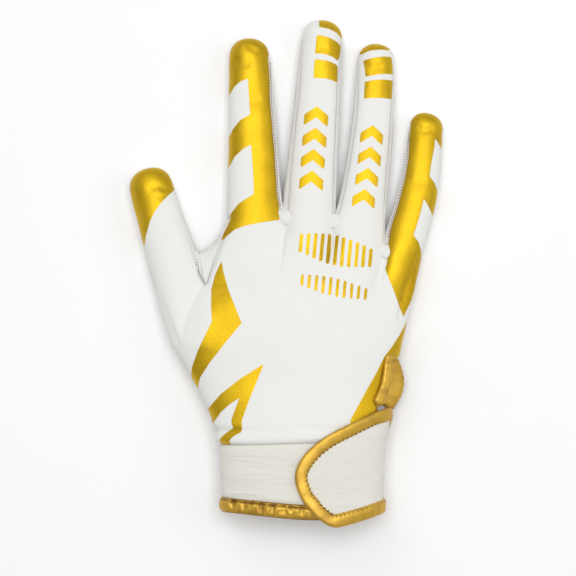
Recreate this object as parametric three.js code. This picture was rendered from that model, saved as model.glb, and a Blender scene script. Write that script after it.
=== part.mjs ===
import * as THREE from 'three';

// Receiver glove for the right hand, in millimetres. It lies palm down with the fingers along +Y
// and the thumb on the -X side. The wrist seam crosses the middle of the hand at Y = 0.

// Cloth and seams
const wallThickness = 1.3;
const seamGap = 0.3;
const seamPull = 0.75; // share of the gap that each side is pulled back by
const sharpestMitre = 0.15; // keeps the pull short where a seam turns sharply
const bindingWidth = 6;
const bindingProud = 0.9;

// Hand and cuff
const wristWidth = 75;
const wristDepth = 27;
const palmDepth = 27;
const knuckleDepth = 19;
const knuckleWidth = 92;
const handLength = 104;
const cuffLength = 35.5;
const hemWidth = 72;
const cuffLift = 3;
const restFlat = 0.5; // how far the rounded underside is pressed flat by the surface it lies on
const liftShare = 0.3; // share of the hand over which the underside comes down from the cuff's lift
const deepestShare = 0.45; // share of the hand where the palm's full depth ends

// Fingers. Roots are shares of the knuckle width across and of the hand length along.
const fingers = [
  { name: 'thumb', across: -0.565, along: 0.565, lean: -16.3, bow: 0, length: 71.6,
    rootWidth: 25, tipWidth: 20.5, rootDepth: 20, tipDepth: 15 },
  { name: 'index', across: -0.228, along: 1.004, lean: -1.8, bow: 0.4, length: 84.3,
    rootWidth: 26.6, tipWidth: 19, rootDepth: 18, tipDepth: 14 },
  { name: 'middle', across: 0.05, along: 1.055, lean: 4.4, bow: 0, length: 87.6,
    rootWidth: 25.2, tipWidth: 19.6, rootDepth: 18.5, tipDepth: 14.5 },
  { name: 'ring', across: 0.299, along: 0.974, lean: 6.2, bow: 1.8, length: 85.1,
    rootWidth: 23, tipWidth: 17.8, rootDepth: 17.5, tipDepth: 13.5 },
  { name: 'little', across: 0.515, along: 0.856, lean: 11.8, bow: 2.3, length: 66,
    rootWidth: 20.6, tipWidth: 16.2, rootDepth: 16.5, tipDepth: 12.5 },
];
const capShare = 0.5;
const capPower = 2.3;

// Crotches between the fingers, in the same shares. The roll is how far the sewn strip turns back
// from the open end of the crotch to the seam on the back of the hand.
const crotches = [
  { name: 'index_middle', across: -0.084, along: 1.068, rollAcross: 0.018, rollAlong: -0.073 },
  { name: 'middle_ring', across: 0.185, along: 1.041, rollAcross: -0.008, rollAlong: -0.063 },
  { name: 'ring_little', across: 0.413, along: 0.907, rollAcross: 0.026, rollAlong: -0.067 },
];

// Web between thumb and index finger: its seam on the back, its open edge and its deep palm corner.
const web = {
  back: { across: -0.475, along: 0.705, height: 0.74 },
  edge: { across: -0.51, along: 0.844, height: 0.42 },
  palm: { across: -0.345, along: 0.63, height: 0.1 },
  edgeBend: { across: -0.4, along: 0.9 },
};
const thumbHeel = { across: -0.652, along: 0.431 };
const thumbHeelBend = { across: -0.435, along: 0.144 };
const gussetReach = 16;
const seamReach = 6; // a moved seam point fades out over this length
const reachPerShift = 1.8; // and over this much more for each millimetre it is moved

// Section of every tube: a rounded oval, with seams at this angle above and below its widest line.
const sectionPower = 2 / 2.3;
const seamAngle = THREE.MathUtils.degToRad(28);
const seamTaper = 0.25; // share of that angle left at the fingertips
const taperStart = 0.7; // share of the finger where the seams start to come together

// Strap over the back of the cuff, and the vent that it closes
const strap = { thickness: 1.8, foldWidth: 49, slope: 0.567, lowerSlope: 0.26,
  foldTop: 16, tipX: -2, roundX: 14, wrapAngle: 50 };
const strapBindingThickness = 3;
const strapClearance = 0.45;
const strapTuck = 7.8; // the strap's cloth ends this far inside the binding's outer edge
const ventBinding = { width: 5, thickness: 2.8, flare: 1.2, firstShare: 0.03, lastShare: 0.02 };
const snap = { diameter: 12, thickness: 1.6, ringDiameter: 6.6, knobDiameter: 4.4,
  knobBevel: 0.4, knobSunk: 0.2, across: 0, along: -0.6 };

// Rows and columns of the cloth mesh
const rowsCuff = 4;
const rowsHem = 1;
const rowsHeel = 5;
const rowsKnuckle = 5;
const columnsFinger = 6;
const columnsSide = 4;
const rowsFinger = 8;
const rowsCap = 3;
const heelShare = 0.38;
const webShare = 0.72;
const ventRows = rowsHeel + 1;
const strapRows = 10;
const strapTipRows = 5;
const strapColumns = 8;
const ventSteps = 6;
const bandSides = 8;
const snapSides = 32;

const clamp01 = (t) => Math.min(1, Math.max(0, t));
const smooth = (t) => clamp01(t) ** 2 * (3 - 2 * clamp01(t));
const mix = (a, b, t) => a + (b - a) * t;
const mixPoint = (a, b, t) => a.clone().lerp(b, t);
const roundCos = (angle) => Math.sign(Math.cos(angle)) * Math.abs(Math.cos(angle)) ** sectionPower;
const roundSin = (angle) => Math.sign(Math.sin(angle)) * Math.abs(Math.sin(angle)) ** sectionPower;
const steps = (count) => Array.from({ length: count + 1 }, (unused, i) => i / count);
const placed = ({ across, along }, z = 0) =>
  new THREE.Vector3(across * knuckleWidth, along * handLength, z);

// Hand depth and lift of the underside along the hand, from the wrist at 0 to the knuckles at 1.
function handHeights(share) {
  const toPalm = smooth(share / deepestShare);
  const toKnuckle = smooth((share - deepestShare) / (1 - deepestShare));
  const depth = mix(mix(wristDepth, palmDepth, toPalm), knuckleDepth, toKnuckle);
  const lift = cuffLift * (1 - smooth(share / liftShare));
  return { lift, depth, middle: lift + depth / 2 };
}

// One finger as a tapered tube with a rounded tip, read at a distance from its root.
function fingerTube(finger, distance) {
  const lean = THREE.MathUtils.degToRad(finger.lean);
  const axis = new THREE.Vector3(Math.sin(lean), Math.cos(lean), 0);
  const side = new THREE.Vector3(Math.cos(lean), -Math.sin(lean), 0);
  const capLength = capShare * finger.tipWidth;
  const share = clamp01(distance / (finger.length - capLength));
  const rise = clamp01((distance - finger.length + capLength) / capLength);
  const round = (1 - rise ** capPower) ** (1 / capPower);
  const depth = mix(finger.rootDepth, finger.tipDepth, share);
  const centre = placed(finger, depth / 2)
    .addScaledVector(axis, distance)
    .addScaledVector(side, finger.bow * 4 * share * (1 - share));
  const width = mix(finger.rootWidth, finger.tipWidth, share);
  return {
    centre, side, halfWidth: width * round / 2, halfDepth: depth * round / 2,
    angle: seamAngle * mix(1, seamTaper, smooth((share - taperStart) / (1 - taperStart))),
  };
}

// Seam point of a tube: sideSign is -1 or 1, level is 1 on the back, 0 at the edge, -1 on the palm.
function tubePoint(tube, sideSign, level) {
  const across = sideSign * tube.halfWidth * roundCos(tube.angle * level);
  const up = tube.halfDepth * roundSin(tube.angle * level);
  return tube.centre.clone().addScaledVector(tube.side, across).add(new THREE.Vector3(0, 0, up));
}

const levels = { back: 1, edge: 0, palm: -1 };
const levelNames = Object.keys(levels);
const eachLevel = (make) => Object.fromEntries(levelNames.map((name) => [name, make(name)]));
const rootEdge = (finger, sideSign) =>
  eachLevel((name) => tubePoint(fingerTube(finger, 0), sideSign, levels[name]));

// Edge of the hand: seam points on the back, at the widest line and on the palm.
function handEdge(outline, inward, halfWidth, heights) {
  return eachLevel((name) => {
    const inset = (1 - roundCos(seamAngle * levels[name])) * halfWidth * inward;
    const up = roundSin(seamAngle * levels[name]) * heights.depth / 2;
    return new THREE.Vector3(outline.x + inset, outline.y, heights.middle + up);
  });
}

const [thumb, index, middle, ring, little] = fingers;
const longFingers = [index, middle, ring, little];

// Crotch shared by two neighbours: its three seam points sit between those of both tubes.
const crotchEdges = crotches.map((crotch, i) => {
  const left = rootEdge(longFingers[i], 1);
  const right = rootEdge(longFingers[i + 1], -1);
  return eachLevel((name) => {
    const rolled = Math.abs(levels[name]);
    const across = crotch.across + rolled * crotch.rollAcross;
    const along = crotch.along + rolled * crotch.rollAlong;
    return placed({ across, along }, (left[name].z + right[name].z) / 2);
  });
});

// Outline of the hand below the fingers
const bend = (a, b, c, t) => mixPoint(mixPoint(a, b, t), mixPoint(b, c, t), t);
const wristLeft = new THREE.Vector3(-wristWidth / 2, 0, 0);
const wristRight = new THREE.Vector3(wristWidth / 2, 0, 0);
const littleRoot = rootEdge(little, 1).edge;
const leftOutline = (share) =>
  bend(wristLeft, placed(thumbHeelBend), placed(thumbHeel), share / heelShare);
const rightOutline = (share) => mixPoint(wristRight, littleRoot, share).setZ(0);

const handHalfWidth = (rightOutline(heelShare).x - placed(thumbHeel).x) / 2;

// Outline of the cuff, at shares from -1 at the hem to 0 at the wrist
const cuffHalfWidth = (share) => mix(wristWidth, hemWidth, -share) / 2;
const cuffPoint = (share, across) =>
  new THREE.Vector3(across * cuffHalfWidth(share), share * cuffLength, 0);

function handOutlineEdge(share, sideSign) {
  const left = share < 0 ? cuffPoint(share, -1) : leftOutline(share);
  const right = share < 0 ? cuffPoint(share, 1) : rightOutline(share);
  const halfWidth = share < heelShare ? (right.x - left.x) / 2 : handHalfWidth;
  return handEdge(sideSign < 0 ? left : right, -sideSign, halfWidth, handHeights(share));
}

// Where each finger's edges start, left and right
const webDepth = handHeights(webShare).depth;
const webEdge = eachLevel((name) => placed(web[name], web[name].height * webDepth));
const edgeStarts = new Map([
  [thumb, [handOutlineEdge(heelShare, -1), webEdge]],
  [index, [rootEdge(index, -1), crotchEdges[0]]],
  [middle, [crotchEdges[0], crotchEdges[1]]],
  [ring, [crotchEdges[1], crotchEdges[2]]],
  [little, [crotchEdges[2], rootEdge(little, 1)]],
]);

// Finger edge at a distance: the tube's own seam point, drawn to the shared start near the root.
function fingerEdge(finger, distance, sideSign) {
  const start = edgeStarts.get(finger)[sideSign < 0 ? 0 : 1];
  const own = rootEdge(finger, sideSign);
  const tube = fingerTube(finger, distance);
  return eachLevel((name) => {
    const shift = start[name].clone().sub(own[name]);
    const reach = seamReach + reachPerShift * shift.length();
    const fade = (1 - clamp01(distance / reach)) ** 2;
    return tubePoint(tube, sideSign, levels[name]).addScaledVector(shift, fade);
  });
}

const columnAngles = steps(columnsFinger).map((t) => mix(Math.PI - seamAngle, seamAngle, t));
const arcOf = (angle, seam) => (roundSin(angle) - roundSin(seam)) / (1 - roundSin(seam));
const crossShares = columnAngles.map((angle) => (roundCos(angle) / roundCos(seamAngle) + 1) / 2);
const restOnFloor = (point) => point.setZ(Math.max(0, point.z - restFlat));

// One row over the back or the palm of a finger, from its left seam to its right seam.
function fingerRow(finger, distance, name) {
  const tube = fingerTube(finger, distance);
  const left = fingerEdge(finger, distance, -1)[name];
  const right = fingerEdge(finger, distance, 1)[name];
  const crown = tube.centre.clone().setZ(tube.centre.z + levels[name] * tube.halfDepth);
  const rise = crown.sub(mixPoint(left, right, 0.5));
  if (finger === thumb && name === 'palm') {
    const fade = smooth(distance / finger.rootWidth);
    rise.multiply(new THREE.Vector3(fade, fade, 1));
  }
  return columnAngles.map((angle, i) =>
    mixPoint(left, right, crossShares[i]).addScaledVector(rise, arcOf(angle, seamAngle)));
}

// Side of a row, from the seam on the back round the edge to the seam on the palm.
function sideRow(edge, angle) {
  return steps(columnsSide).map((t) => {
    const turn = mix(angle, -angle, t);
    const seam = turn > 0 ? edge.back : edge.palm;
    const inset = (1 - roundCos(turn)) / (1 - roundCos(angle));
    const up = Math.abs(roundSin(turn)) / roundSin(angle);
    const flat = mixPoint(edge.edge, seam, inset);
    return flat.setZ(mix(edge.edge.z, seam.z, up));
  });
}

// Rows of the hand, from the hem through the cuff to the knuckles
const hemShare = -1 + bindingWidth / cuffLength;
const handShares = [
  ...steps(rowsHem).slice(0, -1).map((t) => mix(-1, hemShare, t)),
  ...steps(rowsCuff).slice(0, -1).map((t) => mix(hemShare, 0, t)),
  ...steps(rowsHeel).slice(0, -1).map((t) => t * heelShare),
  ...steps(columnsFinger).slice(0, -1).map((t) => mix(heelShare, webShare, t)),
  ...steps(rowsKnuckle).map((t) => mix(webShare, 1, t)),
];
const wristRow = rowsHem + rowsCuff;
const heelRow = wristRow + rowsHeel;
const webRow = heelRow + columnsFinger;
const lastRow = webRow + rowsKnuckle;

const thumbRoot = eachLevel((name) => fingerRow(thumb, 0, name));
const indexRoot = rootEdge(index, -1);

function leftEdge(row) {
  const share = handShares[row];
  if (row <= heelRow) {
    return handOutlineEdge(share, -1);
  }
  if (row < webRow) {
    return { back: thumbRoot.back[row - heelRow], palm: thumbRoot.palm[row - heelRow] };
  }
  const t = (share - webShare) / (1 - webShare);
  return {
    back: mixPoint(webEdge.back, indexRoot.back, t),
    edge: bend(webEdge.edge, placed(web.edgeBend, webEdge.edge.z), indexRoot.edge, t),
    palm: mixPoint(webEdge.palm, indexRoot.palm, t),
  };
}
const rightEdge = (row) => (row === lastRow ? rootEdge(little, 1) : handOutlineEdge(handShares[row], 1));

const fingerRoots = eachLevel((name) => longFingers.map((finger) => fingerRow(finger, 0, name)));
const onSeam = 1e-6; // a point within this share of an edge is on the edge
const crownShape = (across) => {
  const seam = roundSin(seamAngle);
  const outward = Math.abs(across * roundCos(seamAngle)) ** (2 / sectionPower);
  return ((1 - outward) ** (sectionPower / 2) - seam) / (1 - seam);
};

// One row over the back or the palm of the hand: four groups of columns that run into the fingers.
function handRow(row, name) {
  const share = handShares[row];
  const left = leftEdge(row)[name];
  const right = rightEdge(row)[name];
  const heights = handHeights(share);
  const inner = crotchEdges.map((crotch, i) => {
    const t = (i + 1) / longFingers.length;
    return share < 0 ? cuffPoint(share, mix(-1, 1, t))
      : mixPoint(mixPoint(wristLeft, wristRight, t), crotch[name], share);
  });
  const stations = [left, ...inner, right];
  const toFinger = smooth((share - webShare) / (1 - webShare));
  const level = heights.middle + levels[name] * heights.depth / 2;
  return longFingers.flatMap((finger, i) => {
    const root = fingerRoots[name][i];
    const last = root.length - 1;
    return root.slice(0, i < longFingers.length - 1 ? last : last + 1).map((rootPoint, column) => {
      const t = crossShares[column];
      const bulge = rootPoint.clone().sub(mixPoint(root[0], root[last], t));
      const point = mixPoint(stations[i], stations[i + 1], t).addScaledVector(bulge, toFinger);
      const across = (point.x - left.x) / (right.x - left.x);
      if (across < onSeam || across > 1 - onSeam) {
        return across < 0.5 ? left.clone() : right.clone();
      }
      const seamHeight = mix(left.z, right.z, across);
      const crown = mix(seamHeight, level, crownShape(2 * clamp01(across) - 1));
      return point.setZ(mix(crown, rootPoint.z, toFinger));
    });
  });
}

// Distances of a finger's rows from its root, closer together over the rounded tip.
function fingerDistances(finger) {
  const capLength = capShare * finger.tipWidth;
  const body = steps(rowsFinger).map((t) => t * (finger.length - capLength));
  const cap = steps(rowsCap).slice(1).map((t) => Math.sin(t * Math.PI / 2) * capLength);
  return [...body, ...cap.map((d) => finger.length - capLength + d)];
}
const fingerSide = (finger, sideSign) => fingerDistances(finger).map((distance) =>
  sideRow(fingerEdge(finger, distance, sideSign), fingerTube(finger, distance).angle));
const handSide = (edgeOf, first, last) =>
  handShares.slice(first, last + 1).map((unused, i) => sideRow(edgeOf(first + i), seamAngle));

// Patches of cloth: grids of points, the piece that each cell belongs to, and their turn.
const patches = [];
function addPatch(grid, pieceOf, flipped = false) {
  const rows = grid.map((row) => row.map((point) => restOnFloor(point.clone())));
  patches.push({ rows, pieceOf, flipped });
}
const clothAt = (row, cloth) => {
  if (row < rowsHem) {
    return 'cuff_hem_binding';
  }
  return row < wristRow ? 'cuff_band' : cloth;
};

function addHand() {
  const rows = (name) => handShares.map((unused, row) => handRow(row, name));
  addPatch(rows('back'), (row) => clothAt(row, 'back_panel'));
  addPatch(rows('palm'), (row) => clothAt(row, 'palm_panel'), true);
}

const fingerPalm = (finger) => (finger === thumb ? 'palm_panel' : `palm_${finger.name}_finger`);
function addFinger(finger) {
  const rows = (name) => fingerDistances(finger).map((distance) => fingerRow(finger, distance, name));
  addPatch(rows('back'), () => (finger === thumb ? 'thumb_back' : 'back_panel'));
  addPatch(rows('palm'), () => fingerPalm(finger), true);
}

// Strip between two fingers: down one side, round the crotch and up the other side.
function addStrip(leftFinger, rightFinger, between, pieceOf) {
  const down = fingerSide(leftFinger, 1).reverse();
  const up = fingerSide(rightFinger, -1);
  const rows = [...down, ...between, ...up.slice(1)];
  addPatch(rows, (row, column) => pieceOf(row < down.length - 1 ? down.length - 2 - row : -1,
    row - down.length - between.length + 1, column), true);
}

function addSides() {
  const capOwner = (finger, column) => (column < columnsSide / 2 ? 'back_panel' : fingerPalm(finger));
  addPatch([...handSide(leftEdge, 0, heelRow), ...fingerSide(thumb, -1).slice(1)],
    (row) => (row < heelRow ? clothAt(row, 'back_panel') : 'thumb_back'), true);
  const ulnar = [...handSide(rightEdge, 0, lastRow), ...fingerSide(little, 1).slice(1)];
  addPatch(ulnar, (row) => (row < wristRow + ventRows ? null : 'back_panel'));
  crotches.forEach((crotch, i) => {
    const [leftFinger, rightFinger] = [longFingers[i], longFingers[i + 1]];
    addStrip(leftFinger, rightFinger, [], (down, up, column) => {
      if (Math.max(down, up) < rowsFinger) {
        return `fourchette_${crotch.name}`;
      }
      return capOwner(down > up ? leftFinger : rightFinger, column);
    });
  });
  const gussetRows = fingerDistances(thumb).filter((distance) => distance < gussetReach).length;
  addStrip(thumb, index, handSide(leftEdge, webRow, lastRow).slice(1), (down, up) => {
    if (down >= gussetRows) {
      return 'thumb_back';
    }
    return up >= 0 ? 'back_panel' : 'thumb_gusset';
  });
}

// Weld the patches into one surface with shared points and one normal at each point.
function weldPatches() {
  const points = [];
  const known = new Map();
  const pointId = (point) => {
    const key = point.toArray().map((value) => Math.round(value * 1000)).join();
    if (!known.has(key)) {
      known.set(key, points.length);
      points.push(point);
    }
    return known.get(key);
  };
  const cells = [];
  patches.forEach(({ rows, pieceOf, flipped }) => {
    const ids = rows.map((row) => row.map(pointId));
    ids.slice(1).forEach((next, row) => next.slice(1).forEach((unused, column) => {
      const ring = [ids[row][column], ids[row][column + 1], next[column + 1], next[column]];
      const corners = ring.filter((id, i) => id !== ring[(i + 1) % ring.length]);
      const [a, b, c, d] = corners.map((id) => points[id]);
      if (d && a.distanceTo(c) > b.distanceTo(d)) {
        corners.push(corners.shift());
      }
      if (corners.length > 2) {
        cells.push({ piece: pieceOf(row, column), corners: flipped ? corners.reverse() : corners });
      }
    }));
  });
  const normals = points.map(() => new THREE.Vector3());
  cells.forEach(({ corners }) => {
    const [a, b, c] = corners.map((id) => points[id]);
    const d = points[corners[corners.length - 1]];
    const face = c.clone().sub(a).cross(d.clone().sub(b));
    const normal = corners.length > 3 ? face : b.clone().sub(a).cross(c.clone().sub(a));
    corners.forEach((id) => normals[id].add(normal.normalize()));
  });
  normals.forEach((normal) => normal.normalize());
  return { points, normals, cells };
}

// Inward direction of a seam at a cell: square to the seam and towards the middle of the cell.
function inwardOf(from, to, middlePoint) {
  const along = to.clone().sub(from).normalize();
  const inward = middlePoint.clone().sub(from);
  return inward.addScaledVector(along, -inward.dot(along)).normalize();
}

// One piece of cloth: its cells with the wall inside them, pulled back from its seams.
function clothGeometry(surface, piece, proud = 0) {
  const cells = surface.cells.filter((cell) => cell.piece === piece);
  const edges = new Map();
  cells.forEach(({ corners }) => {
    const middlePoint = new THREE.Vector3();
    corners.forEach((id) => middlePoint.addScaledVector(surface.points[id], 1 / corners.length));
    corners.forEach((id, i) => {
      const next = corners[(i + 1) % corners.length];
      if (!edges.delete(`${next},${id}`)) {
        edges.set(`${id},${next}`, { from: id, to: next, middlePoint });
      }
    });
  });
  const pulls = new Map();
  edges.forEach(({ from, to, middlePoint }) => {
    const inward = inwardOf(surface.points[from], surface.points[to], middlePoint);
    [from, to].forEach((id) => pulls.set(id, [...(pulls.get(id) ?? []), inward]));
  });
  const ids = [...new Set(cells.flatMap(({ corners }) => corners))];
  const slot = new Map(ids.map((id, i) => [id, i]));
  const positions = [proud, -wallThickness - proud].flatMap((offset) => ids.flatMap((id) => {
    const normal = surface.normals[id];
    const point = surface.points[id].clone().addScaledVector(normal, offset);
    if (pulls.has(id)) {
      const [first, second] = pulls.get(id);
      const mitre = seamGap * seamPull / Math.max(sharpestMitre, 1 + first.dot(second));
      point.addScaledVector(first.clone().add(second).projectOnPlane(normal), mitre);
    }
    return point.toArray();
  }));
  const inner = ids.length;
  const triangles = [];
  cells.forEach(({ corners }) => corners.slice(2).forEach((unused, i) => {
    const [a, b, c] = [corners[0], corners[i + 1], corners[i + 2]].map((id) => slot.get(id));
    triangles.push(a, b, c, a + inner, c + inner, b + inner);
  }));
  edges.forEach(({ from, to }) => {
    const [a, b] = [slot.get(from), slot.get(to)];
    const split = from < to ? [a, a + inner, b, b, a + inner, b + inner]
      : [a, a + inner, b + inner, a, b + inner, b];
    triangles.push(...split);
  });
  return geometryOf(positions, triangles);
}

function geometryOf(positions, triangles) {
  const geometry = new THREE.BufferGeometry();
  geometry.setAttribute('position', new THREE.Float32BufferAttribute(positions, 3));
  geometry.setIndex(triangles);
  geometry.computeVertexNormals();
  return geometry;
}

// Rounded band along a path of points, each with the direction that faces away from the cloth.
function bandGeometry(path, width, thickness) {
  const positions = path.flatMap(({ point, out }, i) => {
    const before = path[Math.max(0, i - 1)].point;
    const after = path[Math.min(path.length - 1, i + 1)].point;
    const along = after.clone().sub(before).normalize();
    const across = along.clone().cross(out).normalize();
    const up = across.clone().cross(along);
    return steps(bandSides).slice(1).flatMap((t) => {
      const turn = t * 2 * Math.PI;
      return point.clone().addScaledVector(across, Math.cos(turn) * width / 2)
        .addScaledVector(up, (1 + Math.sin(turn)) * thickness / 2).toArray();
    });
  });
  const triangles = [];
  const at = (row, side) => row * bandSides + (side % bandSides);
  path.slice(1).forEach((unused, row) => steps(bandSides).slice(1).forEach((t, side) => {
    const [a, b] = [at(row, side), at(row, side + 1)];
    const [c, d] = [at(row + 1, side + 1), at(row + 1, side)];
    triangles.push(a, c, b, a, d, c);
  }));
  const last = path.length - 1;
  steps(bandSides).slice(2, -1).forEach((unused, i) => {
    triangles.push(0, i + 1, i + 2, at(last, 0), at(last, i + 2), at(last, i + 1));
  });
  return geometryOf(positions, triangles);
}

// Point over the wrist at an angle round its section, raised above the cloth.
function overWrist(angle, y, raise) {
  const share = y < 0 ? y / cuffLength : y / littleRoot.y;
  const left = (y < 0 ? cuffPoint(share, -1) : leftOutline(share)).x;
  const right = (y < 0 ? cuffPoint(share, 1) : rightOutline(share)).x;
  const heights = handHeights(share);
  const x = (left + right) / 2 + ((right - left) / 2 + raise) * roundCos(angle);
  const height = heights.middle - restFlat + (heights.depth / 2 + raise) * roundSin(angle);
  return new THREE.Vector3(x, y, height);
}
const outOfWrist = (angle, y) => overWrist(angle, y, 1).sub(overWrist(angle, y, 0)).normalize();

// The strap clears the cuff, and rises over the hem's proud binding within one binding width of it.
function strapRaise(y) {
  const overHem = smooth((bindingWidth * 2 - cuffLength - y) / bindingWidth);
  return strapClearance + bindingProud * overHem;
}
const wrapEnd = -THREE.MathUtils.degToRad(strap.wrapAngle);
function angleAt(x) {
  const outward = (Math.abs(x) / (wristWidth / 2)) ** (1 / sectionPower);
  return Math.acos(outward * Math.sign(x));
}

// Strap outline at an angle round the wrist: side is 1 at the upper edge and -1 at the lower edge.
function strapEdge(angle, side) {
  const x = overWrist(angle, 0, 0).x;
  const fold = wristWidth / 2;
  const pastFold = fold - (angle > 0 ? Math.max(x, strap.roundX) : fold);
  const onBack = side > 0 ? strap.foldTop - strap.slope * pastFold
    : strap.foldTop - strap.foldWidth - strap.lowerSlope * pastFold;
  const onPalm = side > 0 ? -bindingWidth / 2 : bindingWidth - cuffLength;
  return mix(onBack, onPalm, smooth(angle / wrapEnd));
}
const slopeStep = 0.01;
function strapSpan(angle, inset) {
  const [after, before] = [angle + slopeStep, angle - slopeStep];
  const run = overWrist(after, 0, 0).distanceTo(overWrist(before, 0, 0));
  const [top, bottom] = [1, -1].map((side) => {
    const slope = (strapEdge(after, side) - strapEdge(before, side)) / run;
    return strapEdge(angle, side) - side * inset * Math.hypot(1, slope);
  });
  const x = overWrist(angle, 0, 0).x;
  const tip = clamp01((strap.roundX - x) / (strap.roundX - strap.tipX - inset));
  const round = (1 - tip ** capPower) ** (1 / capPower);
  return { middle: (top + bottom) / 2, half: (top - bottom) / 2 * round };
}
function strapAngles(inset) {
  const round = angleAt(strap.roundX);
  const reach = strap.roundX - strap.tipX - inset;
  const straight = steps(strapRows).map((t) => mix(wrapEnd, round, t));
  const tip = steps(strapTipRows).slice(1).map((t) => Math.sin(t * Math.PI / 2) * reach);
  return [...straight, ...tip.map((run) => angleAt(strap.roundX - run))];
}

function strapGeometry() {
  const columns = strapColumns;
  const angles = strapAngles(strapTuck).slice(0, -1);
  const rows = angles.map((angle) => {
    const { middle: centre, half } = strapSpan(angle, strapTuck);
    return steps(columns).map((t) => ({ angle, y: centre + half * (2 * t - 1) }));
  });
  const flat = rows.flat();
  const positions = [strap.thickness, 0].flatMap((lift) =>
    flat.flatMap(({ angle, y }) => overWrist(angle, y, strapRaise(y) + lift).toArray()));
  const inner = flat.length;
  const at = (row, column) => row * (columns + 1) + column;
  const triangles = [];
  const addWall = (a, b) => triangles.push(a, a + inner, b, b, a + inner, b + inner);
  rows.slice(1).forEach((unused, row) => {
    steps(columns).slice(1).forEach((t, column) => {
      const [a, b] = [at(row, column), at(row + 1, column)];
      const [c, d] = [at(row + 1, column + 1), at(row, column + 1)];
      triangles.push(a, c, b, a, d, c);
      triangles.push(...[a, b, c, a, c, d].map((id) => id + inner));
    });
    addWall(at(row + 1, 0), at(row, 0));
    addWall(at(row, columns), at(row + 1, columns));
  });
  steps(columns).slice(1).forEach((t, column) => {
    addWall(at(0, column), at(0, column + 1));
    addWall(at(rows.length - 1, column + 1), at(rows.length - 1, column));
  });
  return geometryOf(positions, triangles);
}

function strapBindingPath() {
  const inset = bindingWidth / 2;
  const angles = strapAngles(inset);
  const edgePoint = (sign) => (angle) => {
    const span = strapSpan(angle, inset);
    const y = span.middle + sign * span.half;
    return { point: overWrist(angle, y, strapRaise(y)), out: outOfWrist(angle, y) };
  };
  return [...angles.map(edgePoint(1)), ...angles.slice(0, -1).reverse().map(edgePoint(-1))];
}

// Binding along one edge of the vent, flared out from the wrist.
function ventPath(name) {
  const first = strap.foldTop / littleRoot.y + ventBinding.firstShare;
  const last = handShares[wristRow + ventRows] - ventBinding.lastShare;
  return steps(ventSteps).map((t) => {
    const edge = handOutlineEdge(mix(first, last, t), 1);
    const inset = edge.edge.clone().sub(edge[name]).setLength(ventBinding.width / 2 + seamGap);
    const out = edge.edge.clone().sub(edge[name]);
    out.set(Math.abs(out.z), 0, levels[name] * out.x).normalize();
    const flare = ventBinding.flare * Math.sin(Math.PI * t);
    const point = edge[name].clone().add(inset).addScaledVector(out, -ventBinding.thickness / 2);
    point.x += flare;
    point.z -= restFlat;
    return { point, out };
  });
}

// Snap: a round cap with a raised ring and knob, turned on the axis and facing down.
function snapGeometry() {
  const radius = snap.diameter / 2;
  const half = snap.thickness / 2;
  const ring = snap.ringDiameter / 2;
  const knob = snap.knobDiameter / 2;
  const knobTop = snap.thickness - snap.knobSunk;
  const profile = [
    [0, 0], [radius, 0], [radius, half], [radius - half, snap.thickness],
    [ring + half, snap.thickness], [ring, half], [knob, half],
    [knob - snap.knobBevel, knobTop], [0, knobTop],
  ];
  const points = profile.map(([x, y]) => new THREE.Vector2(x, y));
  return new THREE.LatheGeometry(points, snapSides).rotateX(-Math.PI / 2);
}

const materials = {
  backCloth: new THREE.MeshStandardMaterial({ color: 0xeaeae4, roughness: 0.75, metalness: 0 }),
  palmGrip: new THREE.MeshStandardMaterial({ color: 0xf2f2ef, roughness: 0.25, metalness: 0 }),
  sideCloth: new THREE.MeshStandardMaterial({ color: 0xe2e2dc, roughness: 0.8, metalness: 0 }),
  cuffCloth: new THREE.MeshStandardMaterial({ color: 0xe4dfd2, roughness: 0.85, metalness: 0 }),
  goldBinding: new THREE.MeshStandardMaterial({ color: 0xc59a36, roughness: 0.45, metalness: 0.4 }),
  snapPlastic: new THREE.MeshStandardMaterial({ color: 0xf4f4f2, roughness: 0.3, metalness: 0 }),
};

const glove = new THREE.Group();
function addPiece(name, geometry, material) {
  const mesh = new THREE.Mesh(geometry, material.clone());
  mesh.name = name;
  glove.add(mesh);
  return mesh;
}

addHand();
fingers.forEach(addFinger);
addSides();
const cloth = weldPatches();
addPiece('back_panel', clothGeometry(cloth, 'back_panel'), materials.backCloth);
addPiece('thumb_back', clothGeometry(cloth, 'thumb_back'), materials.backCloth);
['palm_panel', ...longFingers.map(fingerPalm)].forEach((name) =>
  addPiece(name, clothGeometry(cloth, name), materials.palmGrip));
crotches.forEach(({ name }) =>
  addPiece(`fourchette_${name}`, clothGeometry(cloth, `fourchette_${name}`), materials.sideCloth));
addPiece('thumb_gusset', clothGeometry(cloth, 'thumb_gusset'), materials.sideCloth);
addPiece('cuff_band', clothGeometry(cloth, 'cuff_band'), materials.cuffCloth);
addPiece('cuff_hem_binding', clothGeometry(cloth, 'cuff_hem_binding', bindingProud),
  materials.goldBinding);
addPiece('closure_strap', strapGeometry(), materials.cuffCloth);
addPiece('strap_binding', bandGeometry(strapBindingPath(), bindingWidth, strapBindingThickness),
  materials.goldBinding);
const ventBand = (path) => bandGeometry(path, ventBinding.width, ventBinding.thickness);
addPiece('vent_binding_back', ventBand(ventPath('back')), materials.goldBinding);
addPiece('vent_binding_palm', ventBand(ventPath('palm').reverse()), materials.goldBinding);
const snapMesh = addPiece('snap_button', snapGeometry(), materials.snapPlastic);
snapMesh.position.set(snap.across * wristWidth, snap.along * cuffLength, cuffLift - restFlat - seamGap);

// The middle of the underside of the whole glove is the origin.
const bounds = new THREE.Box3().setFromObject(glove);
const middleOfGlove = bounds.getCenter(new THREE.Vector3());
glove.position.set(-middleOfGlove.x, -middleOfGlove.y, -bounds.min.z);

export default glove;
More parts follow.
